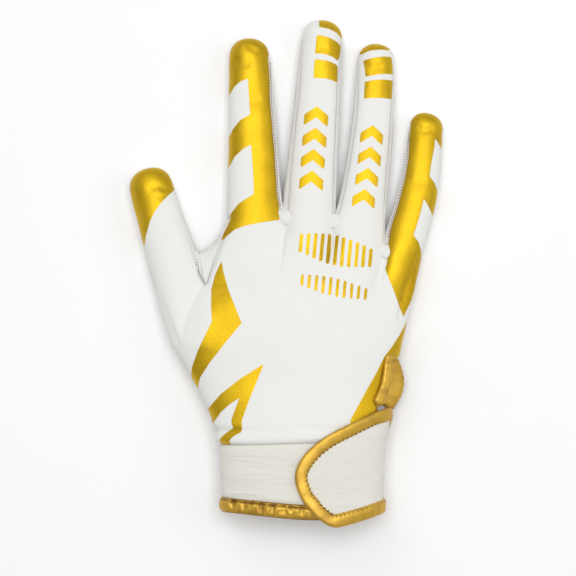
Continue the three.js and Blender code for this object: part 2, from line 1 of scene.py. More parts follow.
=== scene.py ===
"""A right-hand receiver glove of white stretch cloth with gold print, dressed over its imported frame.

It lies palm down with the fingers along +Y and the thumb on the -X side. Sizes in the tables are
millimetres from the middle of the wrist seam, and the finished pieces are in metres."""
import math
import bpy
import numpy as np
from mathutils import Matrix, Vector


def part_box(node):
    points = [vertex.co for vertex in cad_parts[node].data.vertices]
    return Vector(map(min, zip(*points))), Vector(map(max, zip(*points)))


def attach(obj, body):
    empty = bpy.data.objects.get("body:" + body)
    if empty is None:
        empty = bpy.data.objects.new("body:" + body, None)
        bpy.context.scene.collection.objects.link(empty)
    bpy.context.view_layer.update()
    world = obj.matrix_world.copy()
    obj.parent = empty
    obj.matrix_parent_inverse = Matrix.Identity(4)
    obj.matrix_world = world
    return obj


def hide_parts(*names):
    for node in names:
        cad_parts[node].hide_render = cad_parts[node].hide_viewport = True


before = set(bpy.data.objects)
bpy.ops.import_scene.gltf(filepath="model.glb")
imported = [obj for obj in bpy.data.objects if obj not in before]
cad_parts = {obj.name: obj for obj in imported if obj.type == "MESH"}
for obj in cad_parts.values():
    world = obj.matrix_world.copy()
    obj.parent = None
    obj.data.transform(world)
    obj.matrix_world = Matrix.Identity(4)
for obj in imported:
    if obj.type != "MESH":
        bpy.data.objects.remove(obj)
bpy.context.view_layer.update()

# The camera looks straight down. At OUTLINE_HEIGHT above the floor, where the glove is widest, the
# picture is IMAGE_SIDE pixels of MM_PER_PIXEL wide. Heights and the view's centre are in metres.
MM = 0.001
IMAGE_SIDE = 576
MM_PER_PIXEL = 0.467
CAMERA_HEIGHT = 1.2
OUTLINE_HEIGHT = 0.012
VIEW_CENTRE = (0.0008, -0.0075)
SENSOR = 36.0

lens = SENSOR * (CAMERA_HEIGHT - OUTLINE_HEIGHT) / (IMAGE_SIDE * MM_PER_PIXEL * MM)
camera_data = bpy.data.cameras.new("camera")
camera_data.lens = lens
camera_data.sensor_width = SENSOR
camera = bpy.data.objects.new("camera", camera_data)
camera.location = (*VIEW_CENTRE, CAMERA_HEIGHT)
bpy.context.scene.collection.objects.link(camera)
bpy.context.scene.camera = camera

# Cloth, seams and trim, in millimetres
WALL = 1.3
SEAM_GAP = 0.1
BINDING_WIDTH = 6.0
HEM_BINDING = 7.0
STITCH_ROW = HEM_BINDING - 1.3
HEM_RISE, WRIST_DIP = 3.0, 1.2
BINDING_PROUD = 0.9
REST_FLAT = 0.5

# Hand and cuff
WRIST_WIDTH, WRIST_DEPTH = 75.0, 27.0
PALM_DEPTH, KNUCKLE_DEPTH = 27.0, 19.0
KNUCKLE_WIDTH, HAND_LENGTH = 92.0, 104.0
CUFF_LENGTH, HEM_WIDTH, CUFF_LIFT = 35.5, 72.0, 3.0

# Fingers: root across and along as shares of knuckle width and hand length, lean in degrees, bow,
# length, root width, tip width, root depth, tip depth.
FINGER_COLUMNS = ("across", "along", "lean", "bow", "length",
                  "root_width", "tip_width", "root_depth", "tip_depth")
FINGER_SIZES = {
    "thumb": (-0.565, 0.565, -16.3, 0, 71.6, 25, 20.5, 20, 15),
    "index": (-0.228, 1.004, -1.8, 0.4, 84.3, 26.6, 19, 18, 14),
    "middle": (0.05, 1.055, 4.4, 0, 87.6, 25.2, 19.6, 18.5, 14.5),
    "ring": (0.299, 0.974, 6.2, 1.8, 85.1, 23, 17.8, 17.5, 13.5),
    "little": (0.515, 0.856, 11.8, 2.3, 66, 20.6, 16.2, 16.5, 12.5),
}
FINGERS = {name: dict(zip(FINGER_COLUMNS, row)) for name, row in FINGER_SIZES.items()}
LONG_FINGERS = ("index", "middle", "ring", "little")
CAP_SHARE, CAP_POWER = 0.5, 2.3

# Crotches: across, along, and the roll across and along from the open edge to the seam.
CROTCHES = {
    "index_middle": (-0.084, 1.068, 0.018, -0.073),
    "middle_ring": (0.185, 1.041, -0.008, -0.063),
    "ring_little": (0.413, 0.907, 0.026, -0.067),
}
WEB = {"back": (-0.475, 0.705, 0.74), "edge": (-0.51, 0.844, 0.42), "palm": (-0.345, 0.63, 0.1)}
WEB_EDGE_BEND = (-0.4, 0.9)
THUMB_HEEL, THUMB_HEEL_BEND = (-0.652, 0.431), (-0.435, 0.144)
GUSSET_REACH, SEAM_REACH = 16.0, 6.0
POWER = 2 / 2.3
SEAM_ANGLE = math.radians(28)
SEAM_TAPER = 0.25
HEEL_SHARE, WEB_SHARE = 0.38, 0.72
LEVELS = {"back": 1, "edge": 0, "palm": -1}

# Strap and vent
STRAP_THICKNESS, STRAP_WRAP = 1.5, math.radians(50)
STRAP_BINDING_THICKNESS = 2.7
VENT_WIDTHS, VENT_THICKNESS = {"back": 5.2, "palm": 8.4}, 2.4
SNAP = dict(diameter=12, thickness=1.6, ring=6.6, knob=4.4, along=-0.6)
PAD_WIDTH, PAD_THICKNESS = 8.6, 3.4

# Stitches: the inset of the palm's rows, then pitch, length and thickness of the threads
PALM_STITCH_INSET = 2.6
STITCH_SIZES = {"palm": (2.4, 1.7, 0.55), "strap": (2.2, 1.5, 0.62), "hem": (2.3, 1.7, 0.6),
                "seam": (1.35, 0.8, 0.42), "web": (1.5, 0.9, 0.42)}
STITCH_SINK = 0.25

# Rows and columns of the fine cloth grid
ACROSS = 34            # columns over one finger
AROUND = 12            # columns over one side
FINGER_ROWS, CAP_ROWS = 76, 16
HEM_ROWS, CUFF_ROWS, HEEL_ROWS, KNUCKLE_ROWS = 12, 60, 44, 34
FAR = 9.0              # a distance beyond the reach of every seam and print edge


def mix(a, b, t):
    """Straight blend from a to b."""
    return a + (b - a) * t


def smooth(t):
    """S-curve from 0 to 1, flat at both ends: t squared times (3 - 2t)."""
    t = np.clip(t, 0, 1)
    return t * t * (3 - 2 * t)


def round_cos(angle):
    """Cosine raised to the section's power, with its sign kept: the across part of a full oval."""
    c = np.cos(angle)
    return np.sign(c) * np.abs(c) ** POWER


def round_sin(angle):
    """Sine raised to the section's power, with its sign kept: the upward part of a full oval."""
    s = np.sin(angle)
    return np.sign(s) * np.abs(s) ** POWER


def column(values):
    """An array of numbers with one more axis, to multiply points."""
    return np.asarray(values, float)[..., None]


def placed(shares, z=0.0):
    """Point on the hand at shares of the knuckle width and the hand length, at height z."""
    return np.array([shares[0] * KNUCKLE_WIDTH, shares[1] * HAND_LENGTH, z])


def set_height(points, z):
    """The same points at other heights."""
    out = np.array(points, float)
    out[..., 2] = z
    return out


def bend(a, b, c, t):
    """Curve from a to c drawn towards b: the blend of two straight blends."""
    t = column(t)
    return mix(mix(a, b, t), mix(b, c, t), t)


def hand_heights(share):
    """Lift of the underside, depth and middle height of the hand, from the wrist at 0 to the knuckles
    at 1. It is deepest at 0.45."""
    share = np.asarray(share, float)
    heel = mix(WRIST_DEPTH, PALM_DEPTH, smooth(share / 0.45))
    depth = mix(heel, KNUCKLE_DEPTH, smooth((share - 0.45) / 0.55))
    lift = CUFF_LIFT * (1 - smooth(share / 0.3))
    return lift, depth, lift + depth / 2


def tube(finger, distance):
    """A finger as a tapered tube with a rounded tip: centre, side direction, half width, half depth
    and seam angle at distances from its root. Over the tip the section shrinks as (1 - r^p)^(1/p)."""
    f = FINGERS[finger]
    distance = np.asarray(distance, float)
    lean = math.radians(f["lean"])
    axis = np.array([math.sin(lean), math.cos(lean), 0])
    side = np.array([math.cos(lean), -math.sin(lean), 0])
    cap = CAP_SHARE * f["tip_width"]
    share = np.clip(distance / (f["length"] - cap), 0, 1)
    rise = np.clip((distance - f["length"] + cap) / cap, 0, 1)
    rounding = (1 - rise ** CAP_POWER) ** (1 / CAP_POWER)
    depth = mix(f["root_depth"], f["tip_depth"], share)
    width = mix(f["root_width"], f["tip_width"], share)
    root = placed((f["across"], f["along"]))
    centre = root + column(distance) * axis + column(f["bow"] * 4 * share * (1 - share)) * side
    centre = set_height(centre, depth / 2)
    angle = SEAM_ANGLE * mix(1, SEAM_TAPER, smooth((share - 0.7) / 0.3))
    return centre, side, width * rounding / 2, depth * rounding / 2, angle


def tube_edge(finger, distance, sign):
    """The tube's own three seam points on one side: on the back, at the widest line and on the palm."""
    centre, side, half_width, half_depth, angle = tube(finger, distance)
    return {name: centre + column(sign * half_width * round_cos(angle * level)) * side
            + column(half_depth * round_sin(angle * level)) * np.array([0, 0, 1.0])
            for name, level in LEVELS.items()}


def hand_edge(outline, inward, half_width, heights):
    """Seam points of the hand's edge: the outline moved inwards and up or down round the oval."""
    lift, depth, middle = heights
    edge = {}
    for name, level in LEVELS.items():
        point = np.array(outline, float)
        point[..., 0] += (1 - round_cos(SEAM_ANGLE * level)) * half_width * inward
        edge[name] = set_height(point, middle + round_sin(SEAM_ANGLE * level) * depth / 2)
    return edge


def crotch_edge(number):
    """Seam points of the crotch between two neighbours, at heights between those of both tubes."""
    across, along, roll_across, roll_along = list(CROTCHES.values())[number]
    left = tube_edge(LONG_FINGERS[number], 0, 1)
    right = tube_edge(LONG_FINGERS[number + 1], 0, -1)
    return {name: placed((across + abs(level) * roll_across, along + abs(level) * roll_along),
                         (left[name][2] + right[name][2]) / 2) for name, level in LEVELS.items()}


CROTCH_EDGES = [crotch_edge(number) for number in range(3)]
WRIST_LEFT, WRIST_RIGHT = np.array([-WRIST_WIDTH / 2, 0, 0]), np.array([WRIST_WIDTH / 2, 0, 0])
LITTLE_ROOT = tube_edge("little", 0, 1)
INDEX_ROOT = tube_edge("index", 0, -1)


def cuff_half_width(share):
    """Half width of the cuff, from the wrist at 0 to the hem at -1."""
    return mix(WRIST_WIDTH, HEM_WIDTH, -np.asarray(share, float)) / 2


def outline(share, sign):
    """Outline of the hand and cuff on one side. Left runs to the thumb's heel on a curve, right runs
    straight to the little finger's root, and below the wrist both follow the cuff."""
    share = np.asarray(share, float)
    if sign < 0:
        above = bend(WRIST_LEFT, placed(THUMB_HEEL_BEND), placed(THUMB_HEEL), share / HEEL_SHARE)
    else:
        above = set_height(mix(WRIST_RIGHT, LITTLE_ROOT["edge"], column(share)), 0)
    below = np.stack([sign * cuff_half_width(share), share * CUFF_LENGTH, 0 * share], -1)
    return np.where(column(share) < 0, below, above)


def outline_edge(share, sign):
    """Seam points along the hand's outline on one side."""
    heel_half = (outline(HEEL_SHARE, 1)[0] - placed(THUMB_HEEL)[0]) / 2
    half = (outline(share, 1)[..., 0] - outline(share, -1)[..., 0]) / 2
    half = np.where(np.asarray(share) < HEEL_SHARE, half, heel_half)
    return hand_edge(outline(share, sign), -sign, half, hand_heights(share))


WEB_EDGE = {name: placed(WEB[name], WEB[name][2] * hand_heights(WEB_SHARE)[1]) for name in LEVELS}
EDGE_STARTS = {
    "thumb": (outline_edge(HEEL_SHARE, -1), WEB_EDGE),
    "index": (INDEX_ROOT, CROTCH_EDGES[0]),
    "middle": (CROTCH_EDGES[0], CROTCH_EDGES[1]),
    "ring": (CROTCH_EDGES[1], CROTCH_EDGES[2]),
    "little": (CROTCH_EDGES[2], LITTLE_ROOT),
}


def finger_edge(finger, distance, sign):
    """Finger edge: the tube's own seam points, drawn to the shared start near the root by the
    square of what is left of a reach that grows with the shift."""
    start = EDGE_STARTS[finger][0 if sign < 0 else 1]
    own = tube_edge(finger, 0, sign)
    free = tube_edge(finger, distance, sign)
    edge = {}
    for name in LEVELS:
        shift = start[name] - own[name]
        reach = SEAM_REACH + 1.8 * np.linalg.norm(shift)
        edge[name] = free[name] + column((1 - np.clip(np.asarray(distance) / reach, 0, 1)) ** 2) * shift
    return edge


ANGLES = mix(math.pi - SEAM_ANGLE, SEAM_ANGLE, np.linspace(0, 1, ACROSS + 1))
CROSS_SHARES = (round_cos(ANGLES) / round_cos(SEAM_ANGLE) + 1) / 2
ARC = (round_sin(ANGLES) - round_sin(SEAM_ANGLE)) / (1 - round_sin(SEAM_ANGLE))


def finger_sheet(finger, distance, name):
    """Back or palm of a finger: a straight blend from seam to seam, raised to the tube's crown
    by the oval's own arc. Rows follow the distances and columns run from left to right."""
    distance = np.asarray(distance, float)
    centre, side, half_width, half_depth, angle = tube(finger, distance)
    left = finger_edge(finger, distance, -1)[name]
    right = finger_edge(finger, distance, 1)[name]
    crown = set_height(centre, centre[..., 2] + LEVELS[name] * half_depth)
    rise = crown - (left + right) / 2
    if finger == "thumb" and name == "palm":
        fade = smooth(distance / FINGERS[finger]["root_width"])
        rise = rise * np.stack([fade, fade, np.ones_like(fade)], -1)
    flat = mix(left[..., None, :], right[..., None, :], column(CROSS_SHARES))
    return flat + rise[..., None, :] * column(ARC)


def side_sheet(edge, angle):
    """Side of a finger or of the hand: round its edge from the back's seam to the palm's."""
    rows = len(edge["edge"])
    angle = np.broadcast_to(np.asarray(angle, float), (rows,))[:, None]
    turn = mix(angle, -angle, np.linspace(0, 1, AROUND + 1)[None, :])
    seam = np.where(column(turn) > 0, edge["back"][:, None], edge["palm"][:, None])
    middle = edge["edge"][:, None]
    flat = mix(middle, seam, column((1 - round_cos(turn)) / (1 - round_cos(angle))))
    up = np.abs(round_sin(turn)) / round_sin(angle)
    return set_height(flat, mix(middle[..., 2], seam[..., 2], up))


HEM_SHARE = -1 + HEM_BINDING / CUFF_LENGTH
SHARES = np.concatenate([
    np.linspace(-1, HEM_SHARE, HEM_ROWS + 1)[:-1],
    np.linspace(HEM_SHARE, 0, CUFF_ROWS + 1)[:-1],
    np.linspace(0, HEEL_SHARE, HEEL_ROWS + 1)[:-1],
    np.linspace(HEEL_SHARE, WEB_SHARE, ACROSS + 1)[:-1],
    np.linspace(WEB_SHARE, 1, KNUCKLE_ROWS + 1),
])
WRIST_ROW = HEM_ROWS + CUFF_ROWS
HEEL_ROW = WRIST_ROW + HEEL_ROWS
WEB_ROW = HEEL_ROW + ACROSS
LAST_ROW = WEB_ROW + KNUCKLE_ROWS


def left_edges():
    """Left edge of every hand row: the outline, the thumb's root, then the web to the index finger."""
    low = outline_edge(SHARES[:HEEL_ROW + 1], -1)
    t = (SHARES[WEB_ROW:] - WEB_SHARE) / (1 - WEB_SHARE)
    edges = {}
    for name in LEVELS:
        root = finger_sheet("thumb", [0.0], name)[0] if name != "edge" else np.zeros((ACROSS + 1, 3))
        high = mix(WEB_EDGE[name], INDEX_ROOT[name], column(t))
        if name == "edge":
            high = bend(WEB_EDGE[name], placed(WEB_EDGE_BEND, WEB_EDGE[name][2]), INDEX_ROOT[name], t)
        edges[name] = np.concatenate([low[name], root[1:-1], high])
    return edges


def right_edges():
    """Right edge of every hand row: the outline, blended into the little finger's root at the end."""
    edges = outline_edge(SHARES, 1)
    near = column(smooth((SHARES - 0.8) / 0.2))
    for name in LEVELS:
        step = edges[name][-1] - LITTLE_ROOT[name]
        edges[name] = edges[name] - near * step
    return edges


LEFT_EDGES, RIGHT_EDGES = left_edges(), right_edges()


def hand_sheet(name):
    """Back or palm of the hand and cuff: four groups of columns between stations that run from the
    wrist to the crotches, crowned across, and blended into the fingers' root rows near the knuckles."""
    roots = [finger_sheet(finger, [0.0], name)[0] for finger in LONG_FINGERS]
    left, right = LEFT_EDGES[name], RIGHT_EDGES[name]
    lift, depth, middle = hand_heights(SHARES)
    stations = [left]
    for number in range(3):
        wrist = mix(WRIST_LEFT, WRIST_RIGHT, (number + 1) / 4)
        above = mix(wrist, CROTCH_EDGES[number][name], column(SHARES))
        below = np.stack([wrist[0] * cuff_half_width(SHARES) * 2 / WRIST_WIDTH,
                          SHARES * CUFF_LENGTH, 0 * SHARES], -1)
        stations.append(np.where(column(SHARES) < 0, below, above))
    stations.append(right)
    to_finger = smooth((SHARES - WEB_SHARE) / (1 - WEB_SHARE))[:, None]
    sheets, root_heights = [], []
    for number, root in enumerate(roots):
        stop = ACROSS + 1 if number == 3 else ACROSS
        bulge = root - mix(root[0], root[-1], column(CROSS_SHARES))
        flat = mix(stations[number][:, None], stations[number + 1][:, None], column(CROSS_SHARES))
        sheets.append((flat + column(to_finger) * bulge)[:, :stop])
        root_heights.append(root[:stop, 2])
    points = np.concatenate(sheets, 1)
    root_z = np.concatenate(root_heights)[None, :]
    across = (points[..., 0] - left[:, None, 0]) / (right[:, None, 0] - left[:, None, 0])
    level = (middle + LEVELS[name] * depth / 2)[:, None]
    seam = round_sin(SEAM_ANGLE)
    aside = np.abs(2 * np.clip(across, 0, 1) - 1) * round_cos(SEAM_ANGLE)
    crown = ((1 - aside ** (2 / POWER)) ** (POWER / 2) - seam) / (1 - seam)
    height = mix(mix(left[:, None, 2], right[:, None, 2], across), level, crown)
    points = set_height(points, mix(height, root_z, to_finger))
    points[:, 0], points[:, -1] = left, right
    return points


def finger_distances(finger):
    """Distances of a finger's rows from its root, closer together over the rounded tip."""
    f = FINGERS[finger]
    cap = CAP_SHARE * f["tip_width"]
    body = np.linspace(0, f["length"] - cap, FINGER_ROWS + 1)
    tip = f["length"] - cap + np.sin(np.linspace(0, math.pi / 2, CAP_ROWS + 1)[1:]) * cap
    return np.concatenate([body, tip])


def finger_side(finger, sign):
    """Side strip of a finger, from its root to its tip."""
    distance = finger_distances(finger)
    return side_sheet(finger_edge(finger, distance, sign), tube(finger, distance)[4])


def hand_side(edges, first, last):
    """Side strip of the hand between two of its rows."""
    return side_sheet({name: edges[name][first:last + 1] for name in LEVELS}, SEAM_ANGLE)


# Patches of cloth: a grid of points, the name of the panel that each cell belongs to, and its turn.
PATCHES = []


def rest_on_floor(points):
    """Heights lowered by the pressed-flat depth and rounded off softly where they meet the floor:
    half of h plus the root of h squared plus a small square."""
    h = points[..., 2] - REST_FLAT
    return set_height(points, (h + np.sqrt(h * h + 0.06)) / 2)


def add_patch(grid, panels, flipped=False):
    """Keeps a grid with the panel of every cell. panels has a name for each row or each cell."""
    panels = np.asarray(panels, dtype="U40")
    if panels.ndim == 1:
        panels = panels[:, None]
    cells = np.broadcast_to(panels, (grid.shape[0] - 1, grid.shape[1] - 1))
    PATCHES.append((rest_on_floor(grid), cells, flipped))


def cloth_rows(first, last, cloth):
    """Panel of every row of cells between two hand rows: hem binding, cuff, then the named cloth."""
    rows = np.arange(first, last)
    return np.where(rows < HEM_ROWS, "cuff_hem_binding", np.where(rows < WRIST_ROW, "cuff_band", cloth))


def add_strip(left_finger, right_finger, between, name_cells):
    """Strip between two fingers: down one side, round the crotch and up the other side. name_cells
    gets how many rows a cell is above the crotch on the left and on the right, and its column."""
    down = finger_side(left_finger, 1)[::-1]
    up = finger_side(right_finger, -1)
    grid = np.concatenate([down, between, up[1:]])
    rows = np.arange(len(grid) - 1)[:, None]
    columns = np.arange(AROUND)[None, :]
    below = np.where(rows < len(down) - 1, len(down) - 2 - rows, -1)
    above = rows - len(down) - len(between) + 1
    add_patch(grid, name_cells(below, above, columns), True)


for level_name, flip in (("back", False), ("palm", True)):
    add_patch(hand_sheet(level_name), cloth_rows(0, LAST_ROW, f"{level_name}_panel"), flip)
    for finger_name in FINGERS:
        thumb_back = (finger_name, level_name) == ("thumb", "back")
        panel = "thumb_back" if thumb_back else f"{level_name}_panel"
        sheet_points = finger_sheet(finger_name, finger_distances(finger_name), level_name)
        add_patch(sheet_points, [panel] * (len(sheet_points) - 1), flip)

THUMB_SIDE = finger_side("thumb", -1)
THUMB_SIDE_PANELS = np.append(cloth_rows(0, HEEL_ROW, "back_panel"),
                              ["thumb_back"] * (len(THUMB_SIDE) - 1))
add_patch(np.concatenate([hand_side(LEFT_EDGES, 0, HEEL_ROW), THUMB_SIDE[1:]]),
          THUMB_SIDE_PANELS, True)
LITTLE_SIDE = finger_side("little", 1)
VENT_TOP = WRIST_ROW + HEEL_ROWS + round(ACROSS / 6)
add_patch(np.concatenate([hand_side(RIGHT_EDGES, VENT_TOP, LAST_ROW), LITTLE_SIDE[1:]]),
          ["back_panel"] * (LAST_ROW - VENT_TOP + len(LITTLE_SIDE) - 1))


def side_cloth_cells(panel):
    """Naming rule of a strip between two long fingers: side cloth up to the caps of both, then the
    cloths of the back and the palm, which meet half-way round."""
    def name_cells(below, above, columns):
        cap = np.where(columns < AROUND / 2, "back_panel", "palm_panel")
        return np.where(np.maximum(below, above) < FINGER_ROWS, panel, cap)
    return name_cells


def gusset_cells(below, above, columns):
    """Naming rule of the strip from thumb to index finger: the web reaches a little up the thumb."""
    gusset_rows = (finger_distances("thumb") < GUSSET_REACH).sum()
    web = np.where(above >= 0, "back_panel", "thumb_gusset")
    return np.where(below >= gusset_rows, "thumb_back", web)


for crotch_name, pair in zip(CROTCHES, zip(LONG_FINGERS, LONG_FINGERS[1:])):
    add_strip(*pair, np.zeros((0, AROUND + 1, 3)), side_cloth_cells(f"fourchette_{crotch_name}"))
add_strip("thumb", "index", hand_side(LEFT_EDGES, WEB_ROW, LAST_ROW)[1:], gusset_cells)


def unit(vectors):
    """Vectors at length one."""
    return vectors / np.maximum(np.linalg.norm(vectors, axis=-1, keepdims=True), 1e-12)


def weld():
    """All patches as one surface: points shared within a thousandth of a millimetre, quads split on
    their shorter diagonal, and the panel of each triangle."""
    flat = np.concatenate([grid.reshape(-1, 3) for grid, cells, flipped in PATCHES])
    keys = np.round(flat * 1000 + 0.137).astype(np.int64)
    first, ids = np.unique(keys, axis=0, return_index=True, return_inverse=True)[1:]
    ids = ids.reshape(-1)
    points = flat[first]
    triangles, panels, start = [], [], 0
    for grid, cells, flipped in PATCHES:
        own = ids[start:start + grid.shape[0] * grid.shape[1]].reshape(grid.shape[:2])
        start += own.size
        a, b, c, d = (x.reshape(-1) for x in (own[:-1, :-1], own[:-1, 1:], own[1:, 1:], own[1:, :-1]))
        one, other = (np.linalg.norm(points[m] - points[n], axis=1) for m, n in ((a, c), (b, d)))
        pair = np.where((one > other)[:, None], np.stack([b, c, d, b, d, a], 1),
                        np.stack([a, b, c, a, c, d], 1)).reshape(-1, 3)
        pair = pair[:, ::-1] if flipped else pair
        whole = (pair[:, 0] != pair[:, 1]) & (pair[:, 1] != pair[:, 2]) & (pair[:, 0] != pair[:, 2])
        triangles.append(pair[whole])
        panels.append(np.repeat(cells.reshape(-1), 2)[whole])
    return points, np.concatenate(triangles), np.concatenate(panels)


def point_normals(points, triangles):
    """At each point the unit sum of the unit normals of its triangles."""
    p, q, r = (points[triangles[:, k]] for k in range(3))
    face = unit(np.cross(q - p, r - p))
    normals = np.zeros_like(points)
    for k in range(3):
        np.add.at(normals, triangles[:, k], face)
    return unit(normals)


def eased(points, triangles, middle, reach, passes):
    """Heights within a reach of a place moved towards the mean of their neighbours', many times."""
    weight = 0.5 * smooth(1.5 * (1 - np.linalg.norm(points[:, :2] - middle, axis=1) / reach))
    near = triangles[(weight[triangles] > 0).any(1)]
    own = np.tile(near.ravel(), 2)
    other = np.concatenate([near[:, [1, 2, 0]].ravel(), near[:, [2, 0, 1]].ravel()])
    count = np.maximum(np.bincount(own, minlength=len(points)), 1)
    height = points[:, 2]
    for repeat in range(passes):
        height = height + weight * (np.bincount(own, height[other], len(points)) / count - height)
    return set_height(points, height)


def bump(distance, width):
    """Bell shape: one at no distance, falling off over the width."""
    return np.exp(-(distance / width) ** 2)


def thumb_side(x):
    """0 right of the middle of the cuff and 1 at its left edge, with a soft slope between them."""
    return smooth((8 - x) / 45)


def cuff_slope(points):
    """The cuff as it lies: on the thumb's side its hem is a little higher and its seam lower."""
    dip = WRIST_DIP * bump(points[..., 1], 9)
    shift = thumb_side(points[..., 0]) * (HEM_RISE * smooth(-points[..., 1] / CUFF_LENGTH) - dip)
    return points + np.stack([0 * shift, shift, 0 * shift], -1)


# The corner below the little finger's root is eased, because its rows bunch there.
LITTLE_HEEL = np.array([53.0, 75.0])
POINTS, TRIANGLES, PANELS = weld()
POINTS = cuff_slope(eased(POINTS, TRIANGLES, LITTLE_HEEL, 22.0, 60))
NORMALS = point_normals(POINTS, TRIANGLES)
THUMB_ROOT = rest_on_floor(np.concatenate([finger_sheet("thumb", [0.0], "back")[0],
                                           hand_side(LEFT_EDGES, HEEL_ROW, HEEL_ROW)[0]]))
# The frame's snap tells where the middle of the wrist seam is.
SNAP_LOW, SNAP_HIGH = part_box("snap_button")
SNAP_X, SNAP_Y = ((SNAP_LOW[k] + SNAP_HIGH[k]) / 2 / MM for k in range(2))
SHIFT = np.array([SNAP_X, SNAP_Y - SNAP["along"] * CUFF_LENGTH, 0])


def nearest(points, others):
    """Distance from each point to the nearest of the others, worked out in blocks."""
    blocks = np.array_split(points, len(points) // 400 + 1)
    return np.concatenate([np.sqrt(((block[:, None] - others[None]) ** 2).sum(-1).min(1))
                           for block in blocks])


def run_along(path):
    """Length along a path of straight pieces at each of its points, measured in up to three axes."""
    steps = np.linalg.norm(np.diff(path[:, :3], axis=0), axis=1)
    return np.concatenate([[0], np.cumsum(steps)])


def path_distance(xy, path):
    """Distance in the plane from each point to a path of straight pieces, and the share along it."""
    path = np.asarray(path, float)
    a, b = path[:-1], path[1:]
    run = b - a
    t = np.clip(((xy[:, None] - a) * run).sum(-1) / (run ** 2).sum(-1), 0, 1)
    gap = np.linalg.norm(xy[:, None] - a - t[..., None] * run, axis=-1)
    best = gap.argmin(1)
    rows = np.arange(len(xy))
    lengths = np.linalg.norm(run, axis=1)
    before = run_along(path)[best]
    return gap[rows, best], (before + t[rows, best] * lengths[best]) / lengths.sum()


def inside(xy, corners):
    """True inside a closed outline: a line out to the right crosses an odd number of its sides."""
    a = np.asarray(corners, float)
    b = np.roll(a, -1, 0)
    up = (a[:, 1] > xy[:, None, 1]) != (b[:, 1] > xy[:, None, 1])
    rise = np.where(b[:, 1] == a[:, 1], 1, b[:, 1] - a[:, 1])
    cross = a[:, 0] + (xy[:, None, 1] - a[:, 1]) * (b[:, 0] - a[:, 0]) / rise
    return ((up & (xy[:, None, 0] < cross)).sum(1) % 2) == 1


def shape_distance(xy, corners):
    """Signed distance to a closed outline, below zero inside it."""
    gap = path_distance(xy, list(corners) + [corners[0]])[0]
    return np.where(inside(xy, corners), -gap, gap)


def waves(points, length, seed, stretch=(1, 1, 1), count=7):
    """Soft folds between -1 and 1: the mean of a few sine waves of about that length, in seeded
    directions, over points stretched along each axis."""
    rng = np.random.default_rng(seed)
    turn = unit(rng.normal(size=(count, 3))) * np.asarray(stretch) * (2 * math.pi / length)
    turn = turn * rng.uniform(0.7, 1.4, (count, 1))
    phase = rng.uniform(0, 2 * math.pi, count)
    return np.sin(points @ turn.T + phase).mean(1) * 1.6


# Print shapes, as corners in pixels of the two pictures. BACK_MIDDLE and PALM_MIDDLE are the pixels
# of the middle of the wrist seam; the palm's picture is seen from below, so it is turned over.
BACK_MIDDLE, PALM_MIDDLE = (416.5, 441.0), (157.5, 446.0)


def on_back(pixels):
    """Millimetres on the glove from pixels in the picture of its back."""
    p = np.asarray(pixels, float)
    return np.stack([p[..., 0] - BACK_MIDDLE[0], BACK_MIDDLE[1] - p[..., 1]], -1) * MM_PER_PIXEL


def on_palm(pixels):
    """Millimetres on the glove from pixels in the picture of its palm."""
    p = np.asarray(pixels, float)
    return (np.asarray(PALM_MIDDLE) - p) * MM_PER_PIXEL


